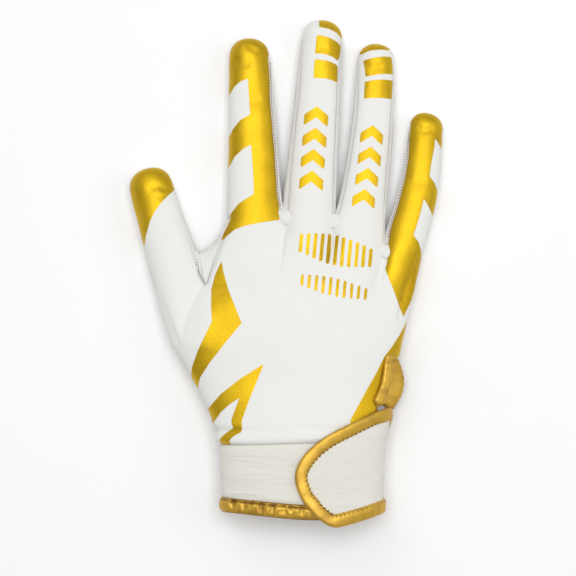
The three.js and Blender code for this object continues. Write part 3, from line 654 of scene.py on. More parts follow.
GOLD_AREAS = {
    "thumb_tip": [(291, 190), (288, 193), (280, 201), (272, 212), (267, 222.5), (263, 235),
                  (261.5, 245), (225, 250), (225, 140), (305, 140)],
    "index": [(325, 20), (398, 20), (398, 200), (395.3, 214.4), (403.8, 219.4), (391.1, 220.8),
              (377.1, 222.9), (363.1, 225.7), (351.8, 229.9), (344.8, 235.5), (325, 250)],
    "middle_cap": [(436, 27.1), (446, 29), (454, 33), (459.2, 38.3), (475, 38), (470, 5), (437, 5)],
    "middle_block_high": [(433.9, 35.5), (441, 36.3), (447.3, 38.3), (453.5, 41.6), (458.8, 46),
                          (457.5, 54), (455, 60.8), (450.5, 57.6), (444.5, 55.2), (438, 54),
                          (431.8, 53.8)],
    "middle_block_low": [(431.5, 59.4), (443, 60.8), (449, 62.7), (454.6, 65.7), (454.3, 82.8),
                         (449, 80.6), (443, 79), (430.4, 78.3)],
    "ring_cap": [(479.5, 53.8), (484, 51.6), (489.4, 50.3), (498, 49.6), (506.9, 50.3), (506, 25),
                 (470, 25), (466, 54)],
    "ring_block_high": [(480.2, 60.8), (486, 58.8), (493.6, 57.3), (501, 56.6), (508.3, 56.6),
                        (509.8, 65), (510.4, 74.1), (503, 73.9), (496.4, 74.4), (489, 75.5),
                        (482.4, 76.9), (481.6, 68)],
    "ring_block_low": [(481.6, 81.8), (489, 80.4), (496.4, 79.7), (503, 79.7), (510.4, 80.4),
                       (510.1, 99.4), (503, 98.5), (496.4, 98), (488, 98.2), (480.7, 98.7)],
    "little": [(524, 95), (590, 95), (590, 262), (539, 261), (535.5, 278.6), (527.7, 302.5),
               (520, 317.2), (510, 289.9), (501.6, 268.8), (503.9, 261), (503.7, 254), (504, 228),
               (510, 196), (518, 164), (524, 124)],
    "wave": [(338.9, 260.2), (340.7, 272.1), (345.6, 289), (351.6, 304), (359.2, 322.6),
             (342.8, 342.3), (327.4, 362), (317.5, 377.4), (314.7, 389.3), (311, 384.5),
             (308.4, 378.8), (309.1, 367.5), (315.4, 350.7), (329.8, 321.2), (328.8, 303),
             (328.8, 289), (332.3, 274.9)],
    "spear": [(381.4, 362.6), (358.2, 377.4), (338.6, 392.8), (326, 407.5), (315, 420), (326, 432),
              (333, 419.5), (338.6, 411), (347, 403.3), (357.3, 396.3), (352.6, 408.2),
              (349.1, 418), (349.4, 422.3), (351.2, 426.5), (345.6, 429.6), (342.2, 432.6),
              (339.4, 437.5), (338.2, 446), (348.4, 446), (348.1, 439.1), (352.6, 433.5),
              (358.2, 430.7), (359.6, 426.5), (359.4, 418.8), (366.7, 398.4)],
    "outer_band": [(525, 319.4), (517.1, 333.4), (508.7, 346), (500.9, 355.8), (493.1, 371.3),
                   (481.9, 390.9), (466.3, 419), (470, 440), (560, 440), (560, 330), (530, 322)],
}
WHITE_NOTCHES = [
    [(365.2, 79), (357.5, 81.8), (351.8, 86.7), (347.3, 94.5), (325, 105), (325, 160),
     (346.2, 136.6), (350.4, 128.8), (357.5, 120.4), (367.3, 114.8), (365.9, 95.2)],
    [(368.3, 145), (360.3, 149.2), (351.8, 156.9), (346.2, 166.7), (325, 180), (325, 245),
     (344.5, 221.5), (347.6, 214.4), (356, 203.9), (371.1, 194.1), (370.1, 172.3)],
    [(552.2, 137.7), (558, 146.4), (562.6, 153.5), (590, 165), (590, 215), (555.1, 192),
     (551.4, 182.9), (546.4, 175.9), (548.9, 159.7), (551.8, 146.4)],
    [(540.6, 199.1), (544.8, 205.3), (549.3, 214.8), (590, 235), (590, 262), (539, 261),
     (538.3, 252), (535.5, 242.1), (530, 235), (532.3, 229.4), (537, 214)],
]


CHEVRON_PLACES = (46.5, 36.5, 26.5, 16.5)


def chevrons(finger, half, rise, thick):
    """Chevrons that point to the fingertip, on the middle line of a finger."""
    outlines = []
    for distance in CHEVRON_PLACES:
        centre, side = tube(finger, [distance])[:2]
        lean = math.radians(FINGERS[finger]["lean"])
        axis, side = np.array([math.sin(lean), math.cos(lean)]), side[:2]
        corners = [(-half, -rise), (0, 0), (half, -rise),
                   (half, -rise - thick), (0, -thick), (-half, -rise - thick)]
        outlines.append([centre[0, :2] + x * side + y * axis for x, y in corners])
    return outlines


def bar_row(low, high, count, tall, thick, lean):
    """Upright bars side by side between two points, the longest in the middle of the row."""
    outlines = []
    for t in np.linspace(0, 1, count):
        x, y = mix(np.asarray(low, float), np.asarray(high, float), t)
        half = tall / 2 * (0.62 + 0.38 * math.sin(math.pi * t))
        foot = np.array([x - lean * half, y - half])
        head = np.array([x + lean * half, y + half])
        across = np.array([thick / 2, 0])
        outlines.append([foot - across, foot + across, head + across, head - across])
    return outlines


GOLD_OUTLINES = [on_back(area) for area in GOLD_AREAS.values()]
GOLD_OUTLINES += chevrons("middle", 5.6, 4.2, 5.2) + chevrons("ring", 5.3, 4.0, 5.0)
GOLD_OUTLINES += bar_row(on_back((418, 243)), on_back((487, 258)), 11, 14, 1.7, 0.09)
GOLD_OUTLINES += bar_row(on_back((419, 280)), on_back((482, 294)), 10, 8.5, 1.45, 0.09)


def gold_field(points):
    """Signed distance to the gold print on the back: the least of its areas, less the notches."""
    xy = points[:, :2]
    gold = np.min([shape_distance(xy, corners) for corners in GOLD_OUTLINES], 0)
    notch = np.min([shape_distance(xy, on_back(corners)) for corners in WHITE_NOTCHES], 0)
    return np.maximum(gold, -notch)


# Gold strokes on the palm: start, end and thickness in pixels of the palm's picture.
PALM_STROKES = [
    ((59, 74), (99, 59), 3.6), ((61, 93), (103, 79), 3.4), ((68, 134), (109, 120), 3.4),
    ((72, 154), (112, 140), 3.2), ((80, 195), (120, 182), 3), ((119, 59), (166, 48.5), 4),
    ((121, 80), (167, 67.5), 3.8), ((125, 121), (153, 115), 2.4), ((126, 141.5), (172, 130), 3.6),
    ((129, 183.5), (169, 174), 3.4), ((168, 193), (178, 193), 2), ((136, 220), (169, 213), 2),
    ((192, 69), (228, 61), 3.4), ((191, 87), (237, 79.5), 3.6), ((223, 98), (236, 102), 2.8),
    ((189, 129.5), (207.5, 127), 2.8), ((189, 148), (231, 142), 3.4), ((217, 161), (234, 165), 2.6),
    ((185, 191), (203, 188), 2.8), ((199, 207), (222, 203), 2.6), ((215.5, 222), (231, 220), 2.6),
    ((175, 229), (192, 226), 2.4), ((195, 243), (208, 241), 2.6), ((206, 258), (218, 257), 2.4),
    ((213, 276), (222, 274), 2.2), ((16, 171), (50, 157), 3.4), ((21, 191), (30, 185), 2.2),
    ((40, 228), (68, 216), 3), ((251, 302), (269, 298), 3.2), ((247, 316), (266, 312), 3.2),
    ((246, 333), (260, 326), 3), ((220, 311), (228, 308), 2.4), ((209, 331), (223, 325), 2.4),
    ((150, 429), (213, 408), 2.6), ((196, 451), (227, 437), 2.6),
]


def palm_chevrons():
    """A plain nest of four chevrons in the middle of the palm, each narrower than the one before it,
    in pixels of the palm's picture."""
    outlines = []
    x, drop, thick = 148, 34, 11
    for k in range(4):
        y, half = 276 + 28 * k, 56 - 6 * k
        upper = [(x - half, y + drop), (x, y), (x + half, y + drop)]
        outlines.append(upper + [(px, py + thick) for px, py in upper[::-1]])
    return outlines


def palm_field(points):
    """Signed distance to the gold strokes on the palm. Each one thins from its start to its end."""
    xy = points[:, :2]
    gaps = []
    for start, end, thick in PALM_STROKES:
        gap, along = path_distance(xy, on_palm([start, end]))
        gaps.append(gap - thick * MM_PER_PIXEL * (0.95 - 0.45 * along))
    gaps += [shape_distance(xy, on_palm(corners)) for corners in palm_chevrons()]
    return np.min(gaps, 0)


class Socket:
    """A shader value that takes plain arithmetic: each operation adds a Math node to its finish."""

    def __init__(self, finish, socket):
        self.finish, self.socket = finish, socket

    def math(self, operation, *others, first=None):
        """One Math node of this value and the others. first puts another value before this one."""
        values = ([] if first is None else [first]) + [self, *others]
        node = self.finish.node("ShaderNodeMath", {"operation": operation}, dict(enumerate(values)))
        return Socket(self.finish, node.outputs[0])

    def __add__(self, other): return self.math("ADD", other)
    def __radd__(self, other): return self.math("ADD", first=other)
    def __sub__(self, other): return self.math("SUBTRACT", other)
    def __rsub__(self, other): return self.math("SUBTRACT", first=other)
    def __mul__(self, other): return self.math("MULTIPLY", other)
    def __rmul__(self, other): return self.math("MULTIPLY", first=other)

    def clamped(self):
        """This value kept between 0 and 1."""
        return self.math("MINIMUM", 1.0).math("MAXIMUM", 0.0)

    def step(self, low, high):
        """0 below low, 1 above high, and a soft slope between them. low may be the larger one."""
        t = ((self - low) * (1 / (high - low))).clamped()
        return t * t * (3 - 2 * t)


class Finish:
    """A material made of nodes, around one Principled shader."""

    def __init__(self, name, **constants):
        self.material = bpy.data.materials.new(name)
        self.material.use_nodes = True
        self.tree = self.material.node_tree
        self.tree.nodes.clear()
        self.shader = self.node("ShaderNodeBsdfPrincipled", {}, constants)
        self.node("ShaderNodeOutputMaterial", {}, {"Surface": self.shader.outputs[0]})
        self.place = self.read("ShaderNodeTexCoord", {}, {}, "Object")

    def node(self, kind, settings, inputs):
        """Adds a node: its settings first, then values or links of its sockets."""
        node = self.tree.nodes.new(kind)
        for key, value in settings.items():
            setattr(node, key, value)
        for key, value in inputs.items():
            key = key.replace("_", " ") if isinstance(key, str) else key
            if isinstance(value, Socket):
                self.tree.links.new(value.socket, node.inputs[key])
            elif isinstance(value, bpy.types.NodeSocket):
                self.tree.links.new(value, node.inputs[key])
            else:
                colour = isinstance(value, tuple) and len(node.inputs[key].default_value) == 4
                node.inputs[key].default_value = (*value, 1) if colour else value
        return node

    def read(self, kind, settings, inputs, output):
        """Adds a node and gives one of its outputs."""
        return Socket(self, self.node(kind, settings, inputs).outputs[output])

    def layer(self, name):
        """A number kept at every point of the mesh."""
        return self.read("ShaderNodeAttribute", {"attribute_name": name}, {}, "Fac")

    def noise(self, scale, detail=2.0, roughness=0.5, vector=None):
        """Soft noise of about that many grains a metre."""
        inputs = {"Vector": vector or self.place, "Scale": scale, "Detail": detail,
                  "Roughness": roughness}
        return self.read("ShaderNodeTexNoise", {}, inputs, "Fac")

    def stretched(self, scale, turn=0.0):
        """Object coordinates scaled along each axis and turned round the upright axis."""
        inputs = {"Vector": self.place, "Scale": scale, "Rotation": (0, 0, turn)}
        return self.read("ShaderNodeMapping", {}, inputs, "Vector")

    def blend(self, a, b, factor):
        """Colour a where the factor is 0 and colour b where it is 1."""
        return self.read("ShaderNodeMix", {"data_type": "RGBA"}, {0: factor, 6: a, 7: b}, 2)

    def paint(self, colour, roughness, metallic=None, coat=None):
        """Links what changes over the surface to the shader."""
        links = {"Base Color": colour, "Roughness": roughness, "Metallic": metallic,
                 "Coat Weight": coat}
        for key, value in links.items():
            if value is not None:
                self.tree.links.new(value.socket, self.shader.inputs[key])

    def relief(self, *heights):
        """Bumps, each a height between 0 and 1 and its depth in millimetres, laid on one another."""
        normal = None
        for height, depth in heights:
            inputs = {"Height": height, "Distance": depth * MM, "Strength": 1.0}
            if normal is not None:
                inputs["Normal"] = normal
            normal = self.read("ShaderNodeBump", {}, inputs, "Normal")
        self.tree.links.new(normal.socket, self.shader.inputs["Normal"])


def weave(finish, pitch, turn=0.0):
    """Plain weave of two crossing sets of threads, one pitch apart, in metres: half the product of
    two sine ripples, plus a half."""
    axes = finish.node("ShaderNodeSeparateXYZ", {}, {"Vector": finish.stretched((1, 1, 1), turn)})
    along, across = ((Socket(finish, axes.outputs[k]) * (math.pi / pitch)).math("SINE")
                     for k in range(2))
    return (along * across * 0.5 + 0.5).clamped()


# WHITE_SHADE, GRIP_SHADE and CREAM_SHADE are partly painted shade, laid near the seams and, in the
# cream, along the creases. They are partly the cloth's own knit, weave or mottle. SEAM_SHADE is painted
# shade in the seams' tuck.
WHITE_CLOTH, WHITE_SHADE = (0.83, 0.83, 0.80), (0.60, 0.60, 0.57)
GOLD_LIGHT, GOLD_DEEP = (0.76, 0.52, 0.016), (0.46, 0.25, 0.006)
CREAM, CREAM_SHADE = (0.80, 0.785, 0.72), (0.62, 0.60, 0.53)
SEAM_SHADE = (0.30, 0.29, 0.26)
GRIP_WHITE, GRIP_SHADE = (0.86, 0.86, 0.85), (0.68, 0.68, 0.67)
# The gold satin binding's colour in painted shade and in painted light.
SATIN_IN_PAINTED_SHADE, SATIN_IN_PAINTED_LIGHT = (0.24, 0.11, 0.008), (0.62, 0.375, 0.045)
SNAP_WHITE, SNAP_SHADE = (0.83, 0.83, 0.81), (0.74, 0.74, 0.72)
PRINT_BLUR = 0.09


def gold_mix(finish, ground):
    """Gold foil print over a ground colour, where the distance to the print is below zero: colour,
    mask and grain. The edge of the print is PRINT_BLUR wide to both sides."""
    mask = finish.layer("print").step(PRINT_BLUR, -PRINT_BLUR)
    grain = finish.noise(1700, 2.0, 0.7)
    cloud = finish.noise(90)
    gold = finish.blend(GOLD_DEEP, GOLD_LIGHT, (grain * 1.1 + cloud * 0.5 - 0.2).clamped())
    return finish.blend(ground, gold, mask), mask, grain


def back_cloth_finish():
    """White stretch cloth with gold foil print and a fine knit, greyed near the seams by painted shade.
    """
    finish = Finish("back stretch cloth", Specular_IOR_Level=0.3, Sheen_Weight=0.05,
                    Sheen_Roughness=0.5)
    knit = finish.noise(1500, 2.0, 0.6)
    seam = finish.layer("seam").step(1.6, 0.0)
    # The knit term is the cloth's own texture; the seam term is painted shade near the seams.
    ground = finish.blend(WHITE_CLOTH, WHITE_SHADE, (knit * 0.12 + seam * 0.55).clamped())
    colour, mask, grain = gold_mix(finish, ground)
    # A darker line right in the seam: painted shade in its tuck.
    colour = finish.blend(colour, SEAM_SHADE, finish.layer("seam").step(0.45, 0.0) * 0.5)
    finish.paint(colour, 0.62 - mask * 0.18 + grain * 0.1, mask * 0.84)
    finish.relief((knit, 0.10), (grain * mask, 0.06))
    return finish.material


def palm_finish():
    """Glossy white grip coating with gold strokes, greyed near its seams by painted shade."""
    finish = Finish("glossy palm grip", Specular_IOR_Level=0.5, Coat_Roughness=0.08)
    mottle = finish.noise(160, 3.0)
    seam = finish.layer("seam").step(1.8, 0.0)
    # The mottle is the coating's own uneven tone; the seam term is painted shade near the seams.
    ground = finish.blend(GRIP_WHITE, GRIP_SHADE, (mottle * 0.15 + seam * 0.5).clamped())
    colour, mask, grain = gold_mix(finish, ground)
    finish.paint(colour, 0.24 + mottle * 0.12, mask * 0.25, 0.5 + mottle * 0.3)
    finish.relief((mottle, 0.25), (finish.noise(900), 0.03))
    return finish.material


def knit_finish(name, light, shade, pitch, crease):
    """Plain cloth with a fine weave and thin level creases of a given depth, darkened along the creases
    and near its seams by painted shade.
    """
    finish = Finish(name, Specular_IOR_Level=0.25, Sheen_Weight=0.2, Sheen_Roughness=0.5)
    threads = weave(finish, pitch)
    fuzz = finish.noise(1100, 3.0, 0.65)
    creases = finish.noise(1.0, 3.0, 0.6, finish.stretched((90, 900, 90)))
    seam = finish.layer("seam").step(1.2, 0.0)
    # The crease and seam terms are painted shade; the weave and fuzz terms are the cloth's own texture.
    dark = ((1 - threads) * 0.10 + creases * 0.22 + fuzz * 0.12 + seam * 0.4).clamped()
    finish.paint(finish.blend(light, shade, dark), 0.72 + fuzz * 0.2)
    finish.relief((creases, crease), (threads, 0.03), (fuzz, 0.06))
    return finish.material


def binding_finish():
    """Gold satin binding, puckered: painted shade in its folds and painted light on top of them."""
    finish = Finish("gold satin binding", Specular_IOR_Level=0.4)
    fold = finish.layer("fold")
    threads = weave(finish, 0.0006, 0.6)
    grain = finish.noise(1400, 3.0, 0.6)
    # fold sets the painted light: dark satin in the hollows and underneath, light satin on the crests
    # and on top.
    colour = finish.blend(SATIN_IN_PAINTED_SHADE, SATIN_IN_PAINTED_LIGHT, (fold * 1.1 + grain * 0.2).clamped())
    finish.paint(colour, 0.34 + grain * 0.14, 0.4 + fold * 0.1)
    finish.relief((threads, 0.03), (grain, 0.05))
    return finish.material


def thread_finish(name, colour, dark):
    """Twisted sewing thread."""
    finish = Finish(name, Specular_IOR_Level=0.4, Sheen_Weight=0.1)
    twist = finish.noise(3000)
    finish.paint(finish.blend(dark, colour, (twist * 1.2).clamped()), 0.5 + twist * 0.2)
    finish.relief((twist, 0.05))
    return finish.material


def plastic_finish():
    """Glossy white snap plastic with a faint mottle."""
    finish = Finish("white snap plastic", Specular_IOR_Level=0.5)
    mottle = finish.noise(400)
    finish.paint(finish.blend(SNAP_WHITE, SNAP_SHADE, mottle), 0.25 + mottle * 0.12)
    finish.relief((mottle, 0.03))
    return finish.material


BACK_FINISH, PALM_FINISH = back_cloth_finish(), palm_finish()
SIDE_FINISH = knit_finish("white side cloth", (0.82, 0.82, 0.80), (0.66, 0.66, 0.64), 0.0005, 0.05)
CUFF_FINISH = knit_finish("cream cuff cloth", CREAM, CREAM_SHADE, 0.0005, 0.45)
LINING_FINISH = knit_finish("white lining", (0.72, 0.71, 0.68), (0.52, 0.51, 0.48), 0.0006, 0.10)
BINDING_FINISH = binding_finish()
WHITE_THREAD = thread_finish("white thread", (0.78, 0.77, 0.73), (0.50, 0.49, 0.45))
GREY_THREAD = thread_finish("grey thread", (0.42, 0.40, 0.36), (0.24, 0.22, 0.19))
GOLD_THREAD = thread_finish("dark gold thread", (0.26, 0.12, 0.012), (0.12, 0.05, 0.006))
PLASTIC_FINISH = plastic_finish()


def make_piece(name, points, faces, finishes, nodes, layers=None, kinds=None, sharp=50):
    """A mesh piece from points in millimetres, kept above the floor. layers are numbers kept at each
    point, kinds says which finish each face has, and edges over sharp degrees stay crisp."""
    mesh = bpy.data.meshes.new(name)
    place = (np.asarray(points, float) + SHIFT) * MM
    place[:, 2] = np.maximum(place[:, 2], 0.0)
    mesh.from_pydata(place, [], faces.tolist() if isinstance(faces, np.ndarray) else faces)
    for finish in finishes:
        mesh.materials.append(finish)
    if kinds is not None:
        mesh.polygons.foreach_set("material_index", np.asarray(kinds, dtype=np.int32))
    for key, values in (layers or {}).items():
        layer = mesh.attributes.new(key, "FLOAT", "POINT")
        layer.data.foreach_set("value", np.asarray(values, dtype=np.float32))
    mesh.polygons.foreach_set("use_smooth", np.ones(len(mesh.polygons), dtype=bool))
    mesh.update()
    mesh.set_sharp_from_angle(angle=math.radians(sharp))
    piece = bpy.data.objects.new(name, mesh)
    bpy.context.scene.collection.objects.link(piece)
    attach(piece, "root")
    if nodes:
        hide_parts(*nodes)


def fold_line(points, pixels, width, height):
    """A soft fold along a path in the picture: a bell across it, fading at both ends."""
    gap, along = path_distance(points[:, :2], on_back(pixels))
    return height * bump(gap, width) * smooth(4 * along + 0.15) * smooth(4 * (1 - along) + 0.15)


# Folds: their path in pixels of the picture, their width, and their height or depth
TIP_FOLDS = [
    ([(266, 189), (275, 186), (287, 191)], 1.5, -0.4),
    ([(273, 199), (282, 196), (292, 201)], 1.4, -0.3),
    ([(254, 206), (258, 222), (264, 236)], 2.2, -0.3),
    ([(348, 58), (357, 64), (370, 63)], 1.8, -0.45),
    ([(362, 44), (374, 52), (384, 50)], 1.6, -0.35),
    ([(424, 44), (434, 49), (446, 46)], 1.8, -0.35),
    ([(480, 64), (490, 69), (502, 66)], 1.8, -0.35),
    ([(532, 126), (542, 131), (553, 127)], 1.8, -0.4),
    ([(349, 100), (362, 104), (380, 98)], 3.0, -0.3),
    ([(518, 176), (530, 182), (545, 178)], 3.0, -0.3),
]
BACK_FOLDS = [
    ([(350, 262), (362, 290), (366, 320)], 5.0, -0.35),
    ([(330, 300), (322, 330), (316, 352)], 4.0, 0.4),
    ([(404, 224), (409, 240), (411, 262)], 3.0, -0.45),
    ([(452, 228), (452, 244), (449, 262)], 3.0, -0.45),
    ([(503, 258), (498, 274), (490, 292)], 3.0, -0.45),
]


def tip_folds(points):
    """Short folds across the fingertips, and shallow ones where the fingers bend."""
    return np.sum([fold_line(points, *fold) for fold in TIP_FOLDS], 0)


def wrist_roll(points):
    """Roll of cloth above the cuff and the dip behind it, both fullest on the thumb's side."""
    height = points[:, 1] + WRIST_DIP * thumb_side(points[:, 0])
    roll = bump(height - 2.6, 2.0) - bump(height - 6.6, 1.3) * 0.75 + bump(height - 9.6, 2.2) * 0.25
    fullness = 1.7 - 1.1 * smooth((points[:, 0] + 38) / 30)
    return roll * (0.7 + 0.3 * waves(points, 24, 3)) * fullness


def back_folds(points, seam):
    """Relief of the back: soft waves, the roll above the cuff, folds below the fingers and by the
    thumb, and a tuck into every seam."""
    lift = 0.18 * waves(points, 38, 1) + 0.07 * waves(points, 13, 2)
    lift += wrist_roll(points)
    lift -= 0.12 * bump(nearest(points, THUMB_ROOT), 2.5)
    lift += tip_folds(points)
    for fold in BACK_FOLDS:
        lift += fold_line(points, *fold)
    return lift - 0.85 * bump(seam, 1.1)


def thumb_folds(points, seam):
    """Relief of the thumb's back: soft waves, a dip along its root and a tuck at its seams."""
    soft = 0.16 * waves(points, 30, 5) + 0.06 * waves(points, 11, 6)
    soft -= 0.12 * bump(nearest(points, THUMB_ROOT), 2.5)
    return soft + tip_folds(points) - 0.85 * bump(seam, 1.1)


def palm_folds(points, seam):
    """Relief of the palm: small creases of the coated cloth and a tuck at its seams."""
    lift = 0.12 * waves(points, 26, 7) + 0.10 * waves(points, 7, 8, (0.5, 1.4, 1))
    return lift - 0.8 * bump(seam, 1.2)


def side_folds(points, seam):
    """Relief of the side strips: slack cloth that dips between its seams."""
    return -0.1 * (1 - bump(seam, 3.0)) + 0.12 * waves(points, 9, 9) - 0.45 * bump(seam, 0.8)


def cuff_folds(points, seam):
    """Relief of the cuff: thin creases across the wrist, deeper in patches, and a tuck at the seams."""
    fine = 1 - np.abs(waves(points, 3.0, 10, (0.12, 1.0, 0.12), 9))
    wide = waves(points, 9, 11, (0.2, 1.0, 0.2), 6)
    patchy = 0.6 + 0.5 * waves(points, 18, 12)
    return (fine - 0.6) * 0.42 * patchy + wide * 0.26 - 0.6 * bump(seam, 1.2)


def hem_folds(points, seam):
    """Relief of the hem binding: a full satin band, gathered into uneven folds by its stitches, which
    pull it in at STITCH_ROW above the hem."""
    fine = 1 - 2.0 * np.abs(waves(points, 5.0, 13, (1.0, 0.5, 1.0), 7))
    wide = waves(points, 14, 14, (1.0, 0.6, 1.0), 5)
    hem = cuff_slope(points * (1, 0, 0) - np.array([0, CUFF_LENGTH, 0]))[:, 1]
    share = np.clip((points[:, 1] - hem) / HEM_BINDING, 0, 1)
    crown = 1 - np.abs(2 * share - 1) ** 3
    gather = 0.45 + 0.55 * share
    full = crown * (BINDING_PROUD + 0.1 + gather * 0.75 * fine + 0.4 * wide)
    return full - 0.15 - 0.75 * bump(share * HEM_BINDING - STITCH_ROW, 0.45)


def cloth_panel(name, panel, folds, finish, lining, nodes, field=None, sharp=50):
    """A panel of cloth from the welded surface: an outer face moved out by its folds, an inner face
    one wall thickness in, and end walls round its edge. The edge is pulled back from the seam, except
    along the thumb's root, where the cloth runs on without one."""
    ids, local = np.unique(TRIANGLES[PANELS == panel], return_inverse=True)
    local = local.reshape(-1, 3)
    base, normal, count = POINTS[ids], NORMALS[ids], len(ids)
    edges = np.concatenate([local[:, [0, 1]], local[:, [1, 2]], local[:, [2, 0]]])
    thirds = np.concatenate([local[:, 2], local[:, 0], local[:, 1]])
    open_edge = ~np.isin(edges[:, 0] * count + edges[:, 1], edges[:, 1] * count + edges[:, 0])
    edges, thirds = edges[open_edge], thirds[open_edge]
    along = unit(base[edges[:, 1]] - base[edges[:, 0]])
    inward = base[thirds] - base[edges[:, 0]]
    inward = unit(inward - (inward * along).sum(1, keepdims=True) * along)
    pull = np.zeros_like(base)
    np.add.at(pull, edges[:, 0], inward)
    np.add.at(pull, edges[:, 1], inward)
    pull = pull * (SEAM_GAP / 2) / np.maximum(0.3, (pull ** 2).sum(1, keepdims=True) / 2)
    unsewn = nearest(base, THUMB_ROOT) < 0.3
    pull[unsewn] = 0
    seam = nearest(base, base[edges[~unsewn[edges[:, 0]], 0]])
    lift = folds(base, seam)
    outer = base + pull + normal * lift[:, None]
    inner = base + pull - normal * WALL
    a, b = edges.T
    walls = np.concatenate([np.stack([b, a, a + count], 1), np.stack([b, a + count, b + count], 1)])
    faces = np.concatenate([local, local[:, ::-1] + count, walls])
    kinds = np.concatenate([np.zeros(len(local)), np.ones(len(local)), np.zeros(len(walls))])
    lift = np.concatenate([lift, np.zeros(count)])
    # The seam distance also feeds painted shade near the seams. fold is the folds' height from 0 to 1,
    # with the inner face at its low end. The satin finish turns it into painted shade in the hollows
    # and painted light on the crests.
    layers = {"seam": np.concatenate([seam, np.full(count, FAR)]),
              "fold": np.clip((lift + 0.1) / 1.3, 0, 1)}
    if field is not None:
        layers["print"] = np.concatenate([field(base), np.full(count, FAR)])
    make_piece(name, np.concatenate([outer, inner]), faces, [finish, lining], nodes, layers,
               kinds, sharp)


for back_name, back_relief in (("back_panel", back_folds), ("thumb_back", thumb_folds)):
    cloth_panel(f"{back_name}_cloth", back_name, back_relief, BACK_FINISH, LINING_FINISH,
                [back_name], gold_field)
cloth_panel("palm_grip_cloth", "palm_panel", palm_folds, PALM_FINISH, LINING_FINISH,
            ["palm_panel"] + [f"palm_{name}_finger" for name in LONG_FINGERS], palm_field)
SIDE_PIECES = {f"side_cloth_{name}": f"fourchette_{name}" for name in CROTCHES}
SIDE_PIECES["thumb_gusset_cloth"] = "thumb_gusset"
for side_name, side_panel in SIDE_PIECES.items():
    cloth_panel(side_name, side_panel, side_folds, SIDE_FINISH, LINING_FINISH,
                [side_panel])
cloth_panel("cuff_cloth", "cuff_band", cuff_folds, CUFF_FINISH, LINING_FINISH,
            ["cuff_band"])
cloth_panel("hem_binding", "cuff_hem_binding", hem_folds, BINDING_FINISH, BINDING_FINISH,
            ["cuff_hem_binding"], sharp=70)


# Strap: its outer edge on the back in pixels of the picture, along the top from the fold to the tip
# and along the bottom from the tip to the fold. Under the palm it runs between two level lines.
STRAP_TOP = [(495, 406.5), (480.7, 412), (466.4, 420), (448, 429.7), (433.6, 439.5),
             (421.3, 451.2), (414, 463.5), (411.5, 474)]
STRAP_LOW = [(414, 486), (420, 499), (431, 512), (443, 521.5), (451, 524), (468.4, 519.5),
             (495, 511)]


def over_wrist(angle, y, out):
    """Point over the wrist at an angle round its oval, at y along the hand, raised by out."""
    angle, y = np.asarray(angle, float), np.asarray(y, float)
    share = np.where(y < 0, y / CUFF_LENGTH, y / LITTLE_ROOT["edge"][1])
    left, right = outline(share, -1)[..., 0], outline(share, 1)[..., 0]
    lift, depth, middle = hand_heights(share)
    x = (left + right) / 2 + ((right - left) / 2 + out) * round_cos(angle)
    return np.stack([x, y, middle - REST_FLAT + (depth / 2 + out) * round_sin(angle)], -1)


def strap_raise(y):
    """Clearance over the cuff, with a rise over the hem's proud binding."""
    return 0.45 + BINDING_PROUD * smooth((BINDING_WIDTH * 2 - CUFF_LENGTH - y) / BINDING_WIDTH)


def angle_at(x):
    """Angle round the wrist where the oval is at x."""
    return np.arccos((np.abs(x) / (WRIST_WIDTH / 2)) ** (1 / POWER) * np.sign(x))


def resampled(path, pitch):
    """Rows one pitch apart along a path of straight pieces, by straight blends of all columns."""
    run = run_along(path)
    at = np.linspace(0, run[-1], max(3, round(run[-1] / pitch) + 1))
    return np.stack([np.interp(at, run, path[:, k]) for k in range(path.shape[1])], 1)


def smoothed(path, pitch, passes):
    """A path made round: points one pitch apart, moved many times towards their neighbours' middle."""
    line = resampled(np.asarray(path, float), pitch)
    for repeat in range(passes):
        line[1:-1] = (line[:-2] + 2 * line[1:-1] + line[2:]) / 4
    return line


WRIST_ANGLES = np.linspace(-STRAP_WRAP, math.pi * 0.9, 800)
WRIST_RUN = run_along(over_wrist(WRIST_ANGLES, 0 * WRIST_ANGLES, 0))


def strap_outline():
    """The strap's edge laid out flat, as length round the wrist and y: out along the top from the end
    under the palm, round the tip, and back along the bottom."""
    under = np.linspace(1, 0.1, 8)
    sides = []
    levels = -BINDING_WIDTH / 2, BINDING_WIDTH - CUFF_LENGTH
    for pixels, level in zip((STRAP_TOP, STRAP_LOW[::-1]), levels):
        edge = on_back(pixels)
        bent = np.stack([-STRAP_WRAP * under, mix(edge[0, 1], level, smooth(under))], 1)
        sides.append(np.concatenate([bent, np.stack([angle_at(edge[:, 0]), edge[:, 1]], 1)]))
    path = np.concatenate([sides[0], sides[1][::-1]])
    round_wrist = np.interp(path[:, 0], WRIST_ANGLES, WRIST_RUN)
    return smoothed(np.stack([round_wrist, path[:, 1]], 1), 0.5, 24)


STRAP_FLAT = strap_outline()


def strap_line(inset):
    """The strap's edge moved in by an inset, still laid out flat."""
    ahead = unit(np.gradient(STRAP_FLAT, axis=0))
    return STRAP_FLAT + inset * np.stack([ahead[:, 1], -ahead[:, 0]], 1)


def on_wrist(flat, out):
    """Points over the wrist from points laid out flat, raised by out above the strap's clearance."""
    y = flat[..., 1]
    return over_wrist(np.interp(flat[..., 0], WRIST_RUN, WRIST_ANGLES), y, strap_raise(y) + out)


def strap_path(inset, out=0.0):
    """Points and outward directions along the strap's edge at an inset."""
    flat = strap_line(inset)
    point = on_wrist(flat, out)
    return point, unit(on_wrist(flat, out + 1) - point)


def grid_faces(rows, columns, start=0, close=False):
    """Quads of a grid of points kept row by row. close joins the last column to the first."""
    r, c = np.meshgrid(np.arange(rows - 1), np.arange(columns if close else columns - 1), indexing="ij")
    after = (c + 1) % columns
    here, below = r * columns, (r + 1) * columns
    quads = np.stack([here + c, below + c, below + after, here + after], -1)
    return quads.reshape(-1, 4) + start


